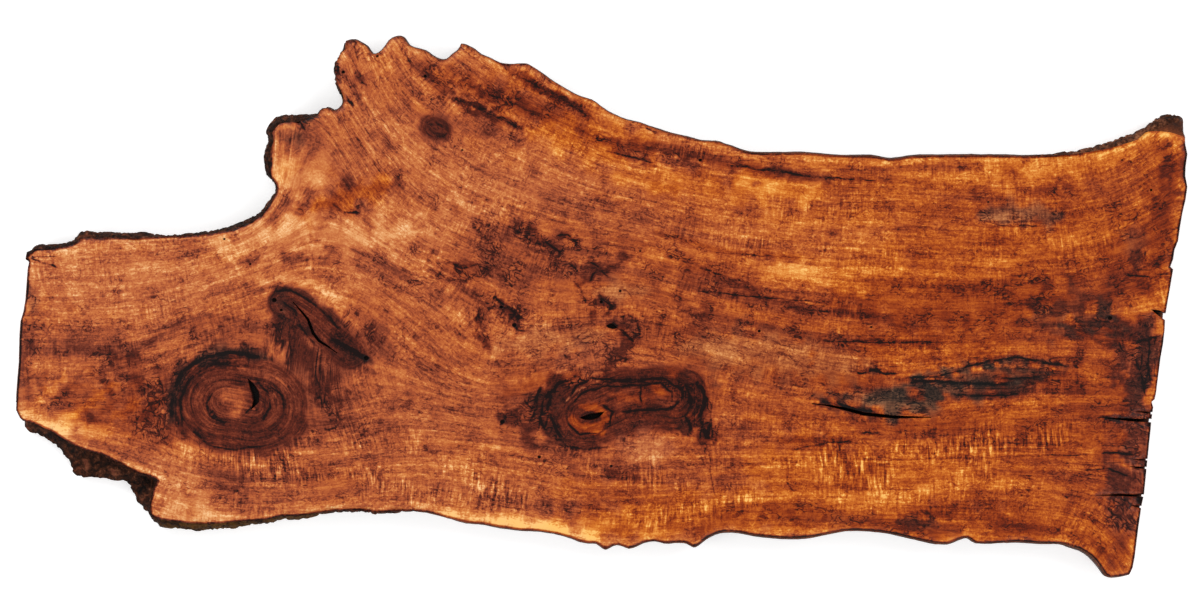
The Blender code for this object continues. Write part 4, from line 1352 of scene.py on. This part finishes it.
    def _sort_surfaces(self) -> None:
        """Give each face the number of its finish, with the bark's ends ragged."""
        middles = [face.calc_center_median() for face in self.shape.faces]
        spots = self.picture.pixels(np.array([tuple(middle) for middle in middles]))
        drift = np.array([noise.noise(middle / 0.016) for middle in middles])
        ragged = spots + 9.0 * drift[:, None] * np.array((1.0, 0.3))
        barky, sawn = on_stretch(ragged, BARK_STRETCHES), on_stretch(spots, SAWN_STRETCHES)
        for face, middle, bark, cut in zip(self.shape.faces, middles, barky, sawn):
            if middle.z > self.top - TOUCH:
                face.material_index = Surface.FACE
            elif middle.z < self.picture.low.z + TOUCH:
                face.material_index = Surface.UNDERSIDE
            elif bark:
                face.material_index = Surface.BARK
            else:
                face.material_index = Surface.SAWN_END if cut else Surface.GROWN_EDGE
            face.smooth = True

    def _refine(self) -> None:
        """Split the face's cells round knots, narrow marks and pits, more often where it is finer."""
        for step in range(len(self.margins)):
            edges = [edge for edge in self.shape.edges
                     if all(face.material_index == Surface.FACE for face in edge.link_faces)]
            middles = np.array([tuple((edge.verts[0].co + edge.verts[1].co) / 2.0) for edge in edges])
            wanted = self._wants_detail(self.picture.pixels(middles), step)
            longest = self.face_cell * 1.5 / 2 ** step
            chosen = [edge for edge, split in zip(edges, wanted)
                      if split and edge.calc_length() > longest / 2.0]
            bmesh.ops.subdivide_edges(self.shape, edges=chosen, cuts=1, use_grid_fill=True)
            LOG.info("refined %d edges in step %d", len(chosen), step + 1)

    def _wants_detail(self, spots: np.ndarray, step: int) -> np.ndarray:
        """Say which places need finer cells.

        Args:
            spots: The places in rows, in pixels.
            step: The step of the refining, from 0.

        Returns:
            Whether each place does.
        """
        wanted = np.zeros(len(spots), dtype=bool)
        for pit in PITS:
            if len(pit.path) > 1 or step < len(self.margins) - 1:
                wanted |= nearest_on_path(spots, pit.line).distance < pit.half + self.margins[step]
        if step == 0:
            for knot in KNOTS:
                wanted |= nearest_on_path(spots, knot.spine, knot.squeeze).distance < knot.reach + 3.0
            for mark in MARKS:
                if mark.half < self.narrow:
                    wanted |= nearest_on_path(spots, mark.path).distance < mark.half * 1.4 + 2.0
        return wanted

    def _make_object(self) -> bpy.types.Object:
        """Sink the pits, store what the finishes read, and make the object.

        Returns:
            The object.
        """
        mesh = bpy.data.meshes.new(PIECE)
        self.shape.to_mesh(mesh)
        self.shape.free()
        places = np.empty(len(mesh.vertices) * 3)
        mesh.vertices.foreach_get("co", places)
        places = places.reshape(-1, 3)
        spots = self.picture.pixels(places)
        beside, along_rim = self._beside_rim(mesh, places)
        depths, inside = self.markings.pit_depths(spots)
        on_face = (places[:, 2] > self.top - TOUCH) & (beside > TOUCH)
        edge = np.stack((along_rim, self.top - places[:, 2], beside), axis=1)
        places[:, 2] -= depths * on_face
        mesh.vertices.foreach_set("co", places.ravel())
        along, across = GrainField().at(spots)
        pixel = self.picture.pixel
        grain = np.stack((along * pixel, across * pixel, self.markings.ripples(spots)), axis=1)
        knots = self.markings.knots(spots)
        knots[:, 0] *= pixel
        self._store(mesh, Layer.GRAIN, grain)
        self._store(mesh, Layer.TONE, self.markings.tones(spots))
        self._store(mesh, Layer.KNOT, knots)
        self._store(mesh, Layer.LINE, self.markings.cracks(spots))
        self._store(mesh, Layer.EDGE, edge)
        # How far inside the pits and into the end checks: the finishes paint shade in both
        for layer, values in ((Layer.SHADED_PIT, inside * on_face), (Layer.CHECK, self.markings.in_checks(spots))):
            mesh.attributes.new(layer.value, "FLOAT", "POINT").data.foreach_set("value", values)
        self._unwrap(mesh, places, edge)
        mesh.set_sharp_from_angle(angle=math.radians(self.smooth_below))
        mesh.update()
        item = bpy.data.objects.new(PIECE, mesh)
        bpy.context.scene.collection.objects.link(item)
        mesh.calc_loop_triangles()
        LOG.info("slab: %d triangles", len(mesh.loop_triangles))
        return item

    def _beside_rim(self, mesh: bpy.types.Mesh, places: np.ndarray) -> tuple[np.ndarray, np.ndarray]:
        """Measure how far each vertex is from the top face's rim, and how far round the rim it lies.

        Args:
            mesh: The slab's mesh.
            places: Its vertices' places.

        Returns:
            The distance across the picture and the length along the rim, in metres.
        """
        neighbours: dict[int, list[int]] = {}
        shared: dict[tuple[int, int], set[bool]] = {}
        for polygon in mesh.polygons:
            for key in polygon.edge_keys:
                shared.setdefault(key, set()).add(polygon.material_index == Surface.FACE)
        for (first, second), kinds in shared.items():
            if len(kinds) == 2:
                neighbours.setdefault(first, []).append(second)
                neighbours.setdefault(second, []).append(first)
        here = before = min(neighbours)
        order = [here]
        while True:
            following = [item for item in neighbours[here] if item != before]
            before, here = here, following[0]
            if here == order[0]:
                break
            order.append(here)
        ring = places[order][:, :2]
        lengths = np.concatenate(((0.0,), np.cumsum(np.hypot(*np.diff(ring, axis=0).T))))
        tree = KDTree(len(ring))
        for index, place in enumerate(ring):
            tree.insert((place[0], place[1], 0.0), index)
        tree.balance()
        beside, along = np.zeros(len(places)), np.zeros(len(places))
        for index, place in enumerate(places):
            _, found, gap = tree.find((place[0], place[1], 0.0))
            beside[index], along[index] = gap, lengths[found]
        return beside, along

    def _store(self, mesh: bpy.types.Mesh, layer: Layer, values: np.ndarray) -> None:
        """Keep three values at each vertex under a layer's name."""
        kept = mesh.attributes.new(layer.value, "FLOAT_VECTOR", "POINT")
        kept.data.foreach_set("vector", values.astype(np.float32).ravel())

    def _unwrap(self, mesh: bpy.types.Mesh, places: np.ndarray, edge: np.ndarray) -> None:
        """Lay the face, the underside and the wall, in strips, on one map for the bake.

        Args:
            mesh: The slab's mesh.
            places: Its vertices' places.
            edge: For each vertex, how far round the rim it lies and its depth below the face.
        """
        low, high = self.picture.low, self.picture.high
        flat_x = (places[:, 0] - low.x) / (high.x - low.x)
        flat_y = (places[:, 1] - low.y) / (high.y - low.y)
        # From the bottom of the map up: the face, the underside made smaller, then the wall's strips
        face_high, under_low, under_high, under_wide = 0.64, 0.65, 0.18, 0.6
        strips, strips_low, strip_high, gap = 4, 0.84, 0.04, 0.006
        strip = float(edge[:, 0].max()) / strips
        chart = mesh.uv_layers.new(name="OFBake")
        values = np.zeros((len(mesh.loops), 2))
        for polygon in mesh.polygons:
            corners = [mesh.loops[index].vertex_index for index in polygon.loop_indices]
            rows = slice(polygon.loop_start, polygon.loop_start + polygon.loop_total)
            if polygon.material_index == Surface.FACE:
                values[rows, 0], values[rows, 1] = flat_x[corners], flat_y[corners] * face_high
            elif polygon.material_index == Surface.UNDERSIDE:
                values[rows, 0] = flat_x[corners] * under_wide
                values[rows, 1] = under_low + flat_y[corners] * under_high
            else:
                reached = edge[corners, 0]
                number = min(strips - 1, int(np.median(reached) / strip))
                values[rows, 0] = np.clip(reached / strip - number, 0.0, 1.0)
                depth = np.clip(edge[corners, 1] / (high.z - low.z), 0.0, 1.0)
                values[rows, 1] = strips_low + number * strip_high + gap / 2.0 + depth * (strip_high - gap)
        chart.data.foreach_set("uv", values.ravel())


Socket = bpy.types.NodeSocket

# A metre in the millimetres that the patterns' sizes are given in
MILLIMETRES = 1000.0
# Makes a range rise smoothly from its start to its end, from 0 to 1 unless it is told otherwise
SMOOTH = {"interpolation_type": "SMOOTHSTEP"}
# The numbers of a mix node's two colour inputs and of its colour output
UNDER, OVER, MIXED = 6, 7, 2


@dataclass(frozen=True)
class Pattern:
    """Builds up a finish's pattern of light and dark from noises of real sizes.

    Args:
        tree: The material's node tree.
    """

    tree: bpy.types.NodeTree

    def feed(self, node: bpy.types.Node, inputs: dict[int | str, object]) -> None:
        """Give a node what goes into it.

        Args:
            node: The node.
            inputs: Values to set or outputs to link, each by its input's name or number.
        """
        for place, value in inputs.items():
            if isinstance(value, Socket):
                self.tree.links.new(value, node.inputs[place])
            else:
                node.inputs[place].default_value = value

    def add(self, kind: str, *values: object, inputs: dict[int | str, object] | None = None,
            stops: tuple[str, ...] = (), output: int | str = 0, **settings: object) -> Socket:
        """Add a node, with its settings and what goes into it.

        Args:
            kind: The node's type, without the "ShaderNode" in front.
            *values: What goes into its first inputs, in order.
            inputs: What goes into its other inputs, by name or number.
            stops: The hex colours that a colour ramp spreads evenly.
            output: The name or number of the output to give back.
            **settings: The node's properties.

        Returns:
            That output.
        """
        node = self.tree.nodes.new("ShaderNode" + kind)
        for name, value in settings.items():
            setattr(node, name, value)
        if stops:
            elements = node.color_ramp.elements
            while len(elements) < len(stops):
                elements.new(1.0)
            for index, code in enumerate(stops):
                elements[index].position = index / (len(stops) - 1)
                elements[index].color = linear(code)
        self.feed(node, dict(enumerate(values)) | (inputs or {}))
        return node.outputs[output]

    def layer(self, layer: Layer) -> tuple[Socket, Socket, Socket]:
        """Read a layer of three values.

        Args:
            layer: The layer.

        Returns:
            Its three values.
        """
        vector = self.add("Attribute", attribute_name=layer.value, output="Vector")
        parts = self.add("SeparateXYZ", vector).node.outputs
        return parts[0], parts[1], parts[2]

    def patches(self, size: tuple[float, float, float], detail: float = 2.0, twist: float = 0.0,
                shift: float = 0.0, flow: bool = True) -> Socket:
        """Make a noise whose patches have a real size, centred on 0.

        Args:
            size: The patches' size in millimetres: along the grain, across it and through it.
            detail: How much finer detail the patches have.
            twist: How much they are twisted.
            shift: Moves the pattern, so that two of one size differ.
            flow: Whether they follow the grain, or the slab's own axes.

        Returns:
            The noise, from about -1 to 1.
        """
        if flow:
            place = self.add("Attribute", attribute_name=Layer.GRAIN.value, output="Vector")
        else:
            place = self.add("TexCoord", output="Object")
        along, across, through = (MILLIMETRES / step for step in size)
        place = self.add("Mapping", inputs={
            "Vector": place, "Scale": (along, across, 0.0 if flow else through),
            "Location": (shift, shift * 1.7, shift * 0.3)})
        value = self.add("TexNoise", inputs={
            "Vector": place, "Scale": 1.0, "Detail": detail, "Roughness": 0.55, "Distortion": twist})
        return self.add("Math", value, 4.0, -2.0, operation="MULTIPLY_ADD")

    def total(self, start: object, *parts: tuple[object, object]) -> Socket:
        """Add some parts to a start.

        Args:
            start: The value or output to start from.
            *parts: Each an output and its share.

        Returns:
            The sum.
        """
        found = start
        for part, share in parts:
            found = self.add("Math", part, share, found, operation="MULTIPLY_ADD")
        return found

    def product(self, start: object, *others: object) -> Socket:
        """Multiply some outputs and values.

        Args:
            start: The first of them.
            *others: The others.

        Returns:
            The product.
        """
        found = start
        for other in others:
            found = self.add("Math", found, other, operation="MULTIPLY")
        return found

    def coats(self, base: object, *coats: tuple[object, object]) -> Socket:
        """Lay some colours over one another.

        Args:
            base: The lowest colour.
            *coats: Each a share, from 0 to 1, and the colour that it lays on.

        Returns:
            The colour that shows.
        """
        found = base
        for share, colour in coats:
            found = self.add("Mix", share, inputs={UNDER: found, OVER: colour}, output=MIXED,
                             data_type="RGBA")
        return found


@dataclass(frozen=True)
class Drawing:
    """What a finish's pattern gives its shader.

    Args:
        colour: The colour.
        relief: The height of its fine relief.
        roughness: How rough it is, a number or an output.
    """

    colour: Socket
    relief: Socket
    roughness: object


@dataclass(frozen=True)
class Finish:
    """What all finishes share: a material with a colour, a fine relief and some gloss.

    Args:
        name: The material's name.
        roughness: How rough the surface is.
        gloss: Its specular level.
        bump: How strongly its fine relief shows, and how deep that is in metres.
        ior: Its index of refraction.
    """

    name: str = "walnut"
    roughness: float = 0.7
    gloss: float = 0.2
    bump: tuple[float, float] = (0.5, 0.001)
    ior: float = 1.5

    def draw(self, wood: Pattern) -> Drawing:
        """Draw the finish's own pattern."""
        raise NotImplementedError

    def make(self) -> bpy.types.Material:
        """Make the material.

        Returns:
            The material, reading the layers that the slab carries.
        """
        material = bpy.data.materials.new(self.name)
        material.use_nodes = True
        pattern = Pattern(material.node_tree)
        drawing = self.draw(pattern)
        strength, depth = self.bump
        normal = pattern.add("Bump", inputs={
            "Strength": strength, "Distance": depth, "Height": drawing.relief})
        pattern.feed(material.node_tree.nodes["Principled BSDF"], {
            "Base Color": drawing.colour, "Normal": normal, "Roughness": drawing.roughness,
            "Specular IOR Level": self.gloss, "IOR": self.ior})
        return material


@dataclass(frozen=True)
class OiledWalnut(Finish):
    """Black walnut, sanded fine and oiled: deep brown to orange figure, soft gloss, open pores.

    Args:
        light: The lightness of plain wood, from 0 to 1.
        marks: How strongly the drawn marks show.
        pinkish: Its colours from dark to light where the wood is cool.
        orange: The same where it is warm.
        drab: The same where it is grey.
        hollow: The colour painted inside pits, as their shade.
    """

    name: str = "walnut_oiled"
    roughness: float = 0.40
    gloss: float = 0.18
    bump: tuple[float, float] = (0.22, 0.0006)
    ior: float = 1.47
    light: float = 0.562
    marks: float = 1.0
    pinkish: tuple[str, ...] = ("#130504", "#37120b", "#5a2113", "#7c3823", "#a04c2b", "#b76034",
                                "#c97741", "#df9b61", "#f4c491")
    orange: tuple[str, ...] = ("#150301", "#3a0e03", "#5f1b05", "#802b07", "#993d0d", "#b25213",
                               "#ca6b1e", "#e08c38", "#f7be66")
    drab: tuple[str, ...] = ("#0c0a09", "#211713", "#3d2a20", "#5c3f2d", "#7c563b", "#9a6f4c",
                             "#b98a61", "#d4ab82", "#ecd0ab")
    hollow: str = "#0b0605"

    def draw(self, wood: Pattern) -> Drawing:
        """Draw the figure of the wood, its knots and the marks on it.

        Args:
            wood: Builds the pattern.

        Returns:
            What the shader takes.
        """
        _, _, ripple = wood.layer(Layer.GRAIN)
        light, warm, grey = wood.layer(Layer.TONE)
        ring, inside, knot_light = wood.layer(Layer.KNOT)

        # Growth bands, streaks and fibres, each drawn coarser than the real pores to show at this size
        broad = wood.patches((300.0, 34.0, 90.0), 2.0, 0.4)
        bands = wood.patches((150.0, 10.0, 60.0), 2.0, 0.5, 3.1)
        streaks = wood.patches((70.0, 3.4, 40.0), 3.0, 0.3, 7.7)
        fibres = wood.patches((16.0, 1.3, 20.0), 2.0, 0.0, 5.2)
        mottle = wood.patches((42.0, 42.0, 42.0), 4.0, 0.6, 1.3, False)
        grit = wood.patches((5.0, 5.0, 5.0), 2.0, 1.6, 2.2, False)
        flecks = wood.patches((8.0, 2.6, 8.0), 2.0, 1.2, 6.6)
        lumps = wood.patches((17.0, 8.0, 17.0), 4.0, 1.3, 4.7)
        curl = wood.patches((3.3, 22.0, 30.0), 2.0, 0.5, 9.4)
        curled = wood.add("MapRange", wood.patches((60.0, 40.0, 50.0), 1.0, 0.0, 4.4), -0.7, 0.7, **SMOOTH)
        curl = wood.product(curl, ripple, curled)

        # Short wavy lines where the fibres turn, as thin threads along the zero line of a noise
        threads = wood.add("Math", wood.patches((13.0, 8.0, 13.0), 1.0, 1.6, 8.3), operation="ABSOLUTE")
        threads = wood.add("MapRange", threads, 0.04, 0.34, 1.0, 0.0, **SMOOTH)
        tufts = wood.add("MapRange", wood.patches((26.0, 20.0, 26.0), 2.0, 0.5, 2.9), -0.5, 0.8, **SMOOTH)
        threads = wood.product(threads, tufts)

        figure = wood.total(0.0, (broad, 0.11), (bands, 0.13), (streaks, 0.12), (fibres, 0.09),
                            (mottle, 0.15), (grit, 0.17), (flecks, 0.10), (lumps, 0.10), (curl, 0.46),
                            (threads, -0.24))
        calm = wood.add("MapRange", light, 0.04, 0.34, 1.0, 0.55, **SMOOTH)
        plain = wood.total(self.light, (figure, calm))

        # A knot's rings are drawn by the distance from its spine, and wander a little across the slab
        rings = self._rings(wood, ring)
        knotty = wood.total(knot_light, (rings, 0.21), (mottle, 0.15), (grit, 0.11), (flecks, 0.06))
        rim = wood.total(inside, (mottle, 0.30), (grit, 0.12), (flecks, 0.12))
        share = wood.add("MapRange", rim, 0.10, 0.85, **SMOOTH)
        base = wood.add("Mix", share, inputs={2: plain, 3: knotty})

        # The marks are broken up: strong in some lumps and fibres and gone in others
        broken = wood.total(0.0, (lumps, 0.75), (streaks, 0.35), (bands, 0.15), (grit, 0.35), (flecks, 0.4))
        strength = wood.add("MapRange", broken, -0.85, 0.75, 0.20 * self.marks, 1.80 * self.marks, **SMOOTH)
        dark = wood.add("Math", light, 0.0, operation="MINIMUM")
        pale = wood.add("Math", light, 0.0, operation="MAXIMUM")
        marked = wood.total(base, (dark, strength), (pale, self.marks), (wood.product(dark, threads), 1.2))
        ringed = wood.product(share, rings)
        lowest = wood.total(0.185, (lumps, 0.08), (streaks, 0.08), (grit, 0.11), (threads, -0.13),
                            (ringed, 0.14))
        marked = wood.add("Math", marked, lowest, 0.06, operation="SMOOTH_MAX")
        # Add the lighter strip by the edge and the painted shade along the rim, and darken the fine cracks
        marked = wood.total(marked, (self._edge_strip_and_shade(wood, mottle, streaks), 1.0), (self._cracks(wood), -1.0))
        marked = wood.add("Math", marked, 0.0, operation="MAXIMUM")

        warmth = wood.total(warm, (broad, 0.22), (mottle, 0.18), (bands, 0.10))
        warmth = wood.add("MapRange", warmth, -0.45, 1.0, **SMOOTH)
        drabness = wood.add("MapRange", wood.total(grey, (mottle, 0.08)), 0.0, 0.8, **SMOOTH)
        # Inside the pits the face is painted near black: painted shade in the hollows
        shaded_pit = wood.add("Attribute", attribute_name=Layer.SHADED_PIT.value, output="Fac")
        colour = wood.coats(wood.add("ValToRGB", marked, stops=self.pinkish),
                            (warmth, wood.add("ValToRGB", marked, stops=self.orange)),
                            (drabness, wood.add("ValToRGB", marked, stops=self.drab)),
                            (wood.add("MapRange", shaded_pit, 0.1, 0.9, **SMOOTH), linear(self.hollow)))
        relief = wood.total(0.0, (fibres, 0.5), (grit, 0.3), (curl, 0.6), (threads, -0.5), (ringed, 0.5))
        roughness = wood.total(self.roughness, (mottle, 0.03), (grit, 0.03), (shaded_pit, 0.4))
        return Drawing(colour, relief, roughness)

    def _rings(self, wood: Pattern, ring: Socket) -> Socket:
        """Draw the rings of the knots, about 4 mm apart.

        Args:
            wood: Builds the pattern.
            ring: The distance from the knot's spine, in metres.

        Returns:
            The rings, from about -1 to 1.
        """
        place = wood.add("SeparateXYZ", wood.add("TexCoord", output="Object")).node.outputs
        around = wood.add("CombineXYZ", wood.product(ring, 250.0), wood.product(place[0], 16.0),
                          wood.product(place[1], 16.0))
        rings = wood.add("TexNoise", inputs={
            "Vector": around, "Scale": 1.0, "Detail": 3.0, "Roughness": 0.7, "Distortion": 0.25})
        return wood.total(-2.0, (rings, 4.0))

    def _edge_strip_and_shade(self, wood: Pattern, mottle: Socket, streaks: Socket) -> Socket:
        """Lighten an uneven strip of the face next to the grown edge, and paint shade in a dark line along
        the rim itself, weaker along the upper edge.

        Args:
            wood: Builds the pattern.
            mottle: The noise of round patches.
            streaks: The noise of streaks.

        Returns:
            The change of lightness.
        """
        _, _, beside = wood.layer(Layer.EDGE)
        strip = wood.total(beside, (mottle, 0.0022), (streaks, 0.001))
        strip = wood.add("MapRange", strip, 0.016, 0.002, 0.0, 0.17, **SMOOTH)
        strip = wood.product(strip, wood.total(0.9, (mottle, 0.4)))
        # Painted shade: a dark line just inside the rim, weaker along the upper edge
        up = wood.add("SeparateXYZ", wood.add("TexCoord", output="Object"), output=1)
        line = wood.product(wood.add("MapRange", beside, 0.0034, 0.0006, 0.0, 0.58, **SMOOTH),
                            wood.add("MapRange", up, 0.185, 0.215, 1.0, 0.30, **SMOOTH))
        check = wood.add("Attribute", attribute_name=Layer.CHECK.value, output="Fac")
        return wood.product(wood.total(strip, (line, -1.0)),
                            wood.add("MapRange", check, 0.9, 0.1, **SMOOTH))

    def _cracks(self, wood: Pattern) -> Socket:
        """Darken the fine cracks, which are broken into short lengths.

        Args:
            wood: Builds the pattern.

        Returns:
            How much darker the wood is.
        """
        side, half, depth = wood.layer(Layer.LINE)
        bend = wood.patches((15.0, 15.0, 15.0), 3.0, 0.0, 6.1, False)
        away = wood.add("Math", wood.total(side, (bend, 1.3)), operation="ABSOLUTE")
        share = wood.add("Math", away, half, operation="DIVIDE")
        soft = wood.add("MapRange", share, 4.5, 0.8, 0.0, 0.14, **SMOOTH)
        hard = wood.add("MapRange", share, 1.5, 0.45, 0.0, 0.55, **SMOOTH)
        lengths = wood.patches((11.0, 11.0, 11.0), 2.0, 0.0, 3.3, False)
        lengths = wood.add("MapRange", lengths, -0.55, 0.25, 0.35, 1.0, **SMOOTH)
        return wood.product(wood.total(soft, (hard, 1.0)), depth, lengths)


@dataclass(frozen=True)
class Bark(Finish):
    """Walnut bark left on the edge: dry, ridged and matt, near black with brown and pink flakes.

    Args:
        colours: Its colours from dark to light.
        flake: The colour of its pink flakes.
        moss: The olive tint of the bark at the lower left.
    """

    name: str = "walnut_bark"
    roughness: float = 0.88
    gloss: float = 0.1
    bump: tuple[float, float] = (0.7, 0.003)
    colours: tuple[str, ...] = ("#090504", "#1a0e09", "#30180e", "#4e2a1a", "#7c4a31", "#ab7450")
    flake: str = "#6b3626"
    moss: str = "#54380f"

    def draw(self, wood: Pattern) -> Drawing:
        """Draw the bark's flakes and furrows, paler at the right and olive at the lower left.

        Args:
            wood: Builds the pattern.

        Returns:
            What the shader takes.
        """
        flakes = wood.patches((9.0, 9.0, 14.0), 4.0, 0.8, 0.0, False)
        furrows = wood.patches((4.0, 4.0, 9.0), 3.0, 0.5, 3.0, False)
        clumps = wood.patches((34.0, 34.0, 34.0), 2.0, 0.4, 5.0, False)
        place = wood.add("SeparateXYZ", wood.add("TexCoord", output="Object")).node.outputs
        paler = wood.add("MapRange", place[0], 0.48, 0.66, 0.0, 0.22, **SMOOTH)
        value = wood.total(0.40, (flakes, 0.34), (furrows, 0.22), (clumps, 0.14), (paler, 1.0))
        pink = wood.add("MapRange", wood.total(flakes, (clumps, 0.9)), 0.5, 1.1, 0.0, 0.6, **SMOOTH)
        olive = wood.product(
            0.75, wood.add("MapRange", wood.total(flakes, (clumps, 0.6)), -0.8, 0.6, **SMOOTH),
            wood.add("MapRange", place[0], -0.33, -0.40, **SMOOTH),
            wood.add("MapRange", place[0], -0.58, -0.55, **SMOOTH),
            wood.add("MapRange", place[1], -0.20, -0.24, **SMOOTH))
        colour = wood.coats(wood.add("ValToRGB", value, stops=self.colours),
                            (pink, linear(self.flake)), (olive, linear(self.moss)))
        return Drawing(colour, wood.total(0.0, (flakes, 0.6), (furrows, 0.5)), self.roughness)


@dataclass(frozen=True)
class GrownEdge(Finish):
    """The edge as it grew, with its bark pulled off: dark, dry wood, ribbed across the slab.

    Args:
        colours: Its colours from dark to light.
    """

    name: str = "walnut_grown_edge"
    roughness: float = 0.68
    gloss: float = 0.15
    bump: tuple[float, float] = (0.5, 0.0015)
    colours: tuple[str, ...] = ("#0c0604", "#231009", "#3f1d0e", "#643017", "#904a20", "#bb6e31")

    def draw(self, wood: Pattern) -> Drawing:
        """Draw upright ribs and threads, paler along the crest.

        Args:
            wood: Builds the pattern.

        Returns:
            What the shader takes.
        """
        _, depth, _ = wood.layer(Layer.EDGE)
        ribs = wood.patches((7.0, 7.0, 45.0), 3.0, 0.3, 0.0, False)
        threads = wood.patches((2.0, 2.0, 30.0), 2.0, 0.0, 4.0, False)
        clumps = wood.patches((40.0, 40.0, 40.0), 3.0, 0.5, 2.0, False)
        crest = wood.add("MapRange", depth, 0.005, 0.0, 0.0, 0.22, **SMOOTH)
        value = wood.total(0.36, (ribs, 0.12), (threads, 0.08), (clumps, 0.12), (crest, 1.0))
        colour = wood.add("ValToRGB", value, stops=self.colours)
        return Drawing(colour, wood.total(0.0, (ribs, 0.6), (threads, 0.4)), self.roughness)


@dataclass(frozen=True)
class SawnEnd(Finish):
    """End grain off the saw: darker and duller than the face, with upright saw marks.

    Args:
        colours: Its colours from dark to light.
        hollow: The colour painted inside the checks, as their shade.
    """

    name: str = "walnut_end_grain"
    roughness: float = 0.66
    gloss: float = 0.3
    bump: tuple[float, float] = (0.4, 0.0008)
    colours: tuple[str, ...] = ("#150a07", "#30160e", "#552815", "#7d3f1e", "#a4592c", "#c98046")
    hollow: str = "#0a0504"

    def draw(self, wood: Pattern) -> Drawing:
        """Draw the growth rings, pores and saw marks, with painted shade, near black, inside the checks.

        Args:
            wood: Builds the pattern.

        Returns:
            What the shader takes.
        """
        rings = wood.patches((60.0, 16.0, 7.0), 3.0, 0.6, 0.0, False)
        pores = wood.patches((1.6, 1.6, 1.6), 1.0, 0.0, 4.0, False)
        saw = wood.patches((2.4, 2.4, 60.0), 1.0, 0.0, 8.0, False)
        clumps = wood.patches((50.0, 50.0, 30.0), 3.0, 0.4, 2.0, False)
        value = wood.total(0.42, (rings, 0.16), (pores, 0.05), (saw, 0.05), (clumps, 0.10))
        check = wood.add("Attribute", attribute_name=Layer.CHECK.value, output="Fac")
        # Painted shade: the end grain is coloured near black inside the checks
        colour = wood.coats(wood.add("ValToRGB", value, stops=self.colours), (check, linear(self.hollow)))
        return Drawing(colour, wood.total(0.0, (saw, 0.6), (pores, 0.4)), self.roughness)


@dataclass
class Studio:
    """A plain pale floor, soft light from all round, and the camera straight above.

    Args:
        picture: Turns pixels into metres.
        lens: The camera's focal length, in millimetres.
        sensor: The width of its sensor, in millimetres.
        lights: Each light's name, its place in metres and its power in watts.
        light_size: The side of each square light, in metres.
        surroundings: How bright the surroundings are.
        floor_size: How far the floor reaches from its middle, in metres.
        floor_gap: How far the floor lies below the slab, in metres.
        paper: The floor's colour.
        paper_glow: How much the floor shines by itself, as an overexposed ground does.
    """

    picture: Picture
    lens: float = 135.0
    sensor: float = 36.0
    lights: tuple[tuple[str, tuple[float, float, float], float], ...] = (
        ("key_light", (-1.6, 1.9, 2.1), 42.0), ("fill_light", (2.1, 1.2, 2.1), 31.0),
        ("near_light", (1.3, -2.1, 2.1), 31.0), ("left_light", (-2.2, -1.4, 2.1), 31.0))
    light_size: float = 2.0
    surroundings: float = 0.38
    floor_size: float = 9.0
    floor_gap: float = 0.0005
    paper: str = "#fbfbfb"
    paper_glow: float = 0.35

    def build(self) -> None:
        """Make the floor, the lights, the surroundings and the camera."""
        self._floor()
        for name, place, power in self.lights:
            self._light(name, place, power)
        world = bpy.data.worlds.new("studio")
        world.use_nodes = True
        background = world.node_tree.nodes["Background"]
        background.inputs["Color"].default_value = linear("#ffffff")
        background.inputs["Strength"].default_value = self.surroundings
        bpy.context.scene.world = world
        bpy.context.scene.view_settings.view_transform = "Standard"
        self._camera()

    def _floor(self) -> None:
        """Lay a wide, pale sheet under the slab."""
        shape = bmesh.new()
        bmesh.ops.create_grid(shape, x_segments=1, y_segments=1, size=self.floor_size)
        bmesh.ops.translate(shape, verts=shape.verts[:],
                            vec=(0.0, 0.0, self.picture.low.z - self.floor_gap))
        mesh = bpy.data.meshes.new("studio_floor")
        shape.to_mesh(mesh)
        shape.free()
        # White paper, matt and a little overexposed
        paper = bpy.data.materials.new("white_paper")
        paper.use_nodes = True
        Pattern(paper.node_tree).feed(paper.node_tree.nodes["Principled BSDF"], {
            "Base Color": linear(self.paper), "Roughness": 0.9,
            "Emission Color": linear("#ffffff"), "Emission Strength": self.paper_glow})
        mesh.materials.append(paper)
        floor = bpy.data.objects.new("studio_floor", mesh)
        bpy.context.scene.collection.objects.link(floor)

    def _light(self, name: str, place: tuple[float, float, float], power: float) -> None:
        """Hang one soft square light, turned to the slab.

        Args:
            name: Its name.
            place: Its place, in metres.
            power: Its power, in watts.
        """
        data = bpy.data.lights.new(name, "AREA")
        data.energy, data.size = power, self.light_size
        lamp = bpy.data.objects.new(name, data)
        lamp.location = place
        lamp.rotation_euler = (-Vector(place)).to_track_quat("-Z", "Y").to_euler()
        bpy.context.scene.collection.objects.link(lamp)

    def _camera(self) -> None:
        """Set the camera above the picture's middle, so far up that the picture's width fits."""
        data = bpy.data.cameras.new("camera")
        data.lens, data.sensor_width = self.lens, self.sensor
        span = self.picture.width * self.picture.pixel
        height = self.picture.high.z + span * self.lens / self.sensor
        camera = bpy.data.objects.new("camera", data)
        camera.location = (*self.picture.metres(self.picture.middle), height)
        bpy.context.scene.collection.objects.link(camera)
        bpy.context.scene.camera = camera


def main() -> None:
    """Build the dressed slab and the studio."""
    logging.basicConfig(level=logging.INFO, format="%(name)s: %(message)s")
    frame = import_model()
    picture = Picture(*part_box(NODE))
    Studio(picture).build()
    LOG.info("studio built")

    slab = SlabShape(frame["nodes"][NODE], picture, Markings(picture)).build()
    # The underside is planed and left dry: the same wood, duller, with its marks half as strong
    underside = OiledWalnut(name="walnut_planed", light=0.52, marks=0.5, roughness=0.62, gloss=0.25)
    for finish in (OiledWalnut(), GrownEdge(), Bark(), SawnEnd(), underside):
        slab.data.materials.append(finish.make())
    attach(slab, BODY)
    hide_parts(NODE)
    LOG.info("slab built and dressed")


if __name__ == "__main__":
    main()
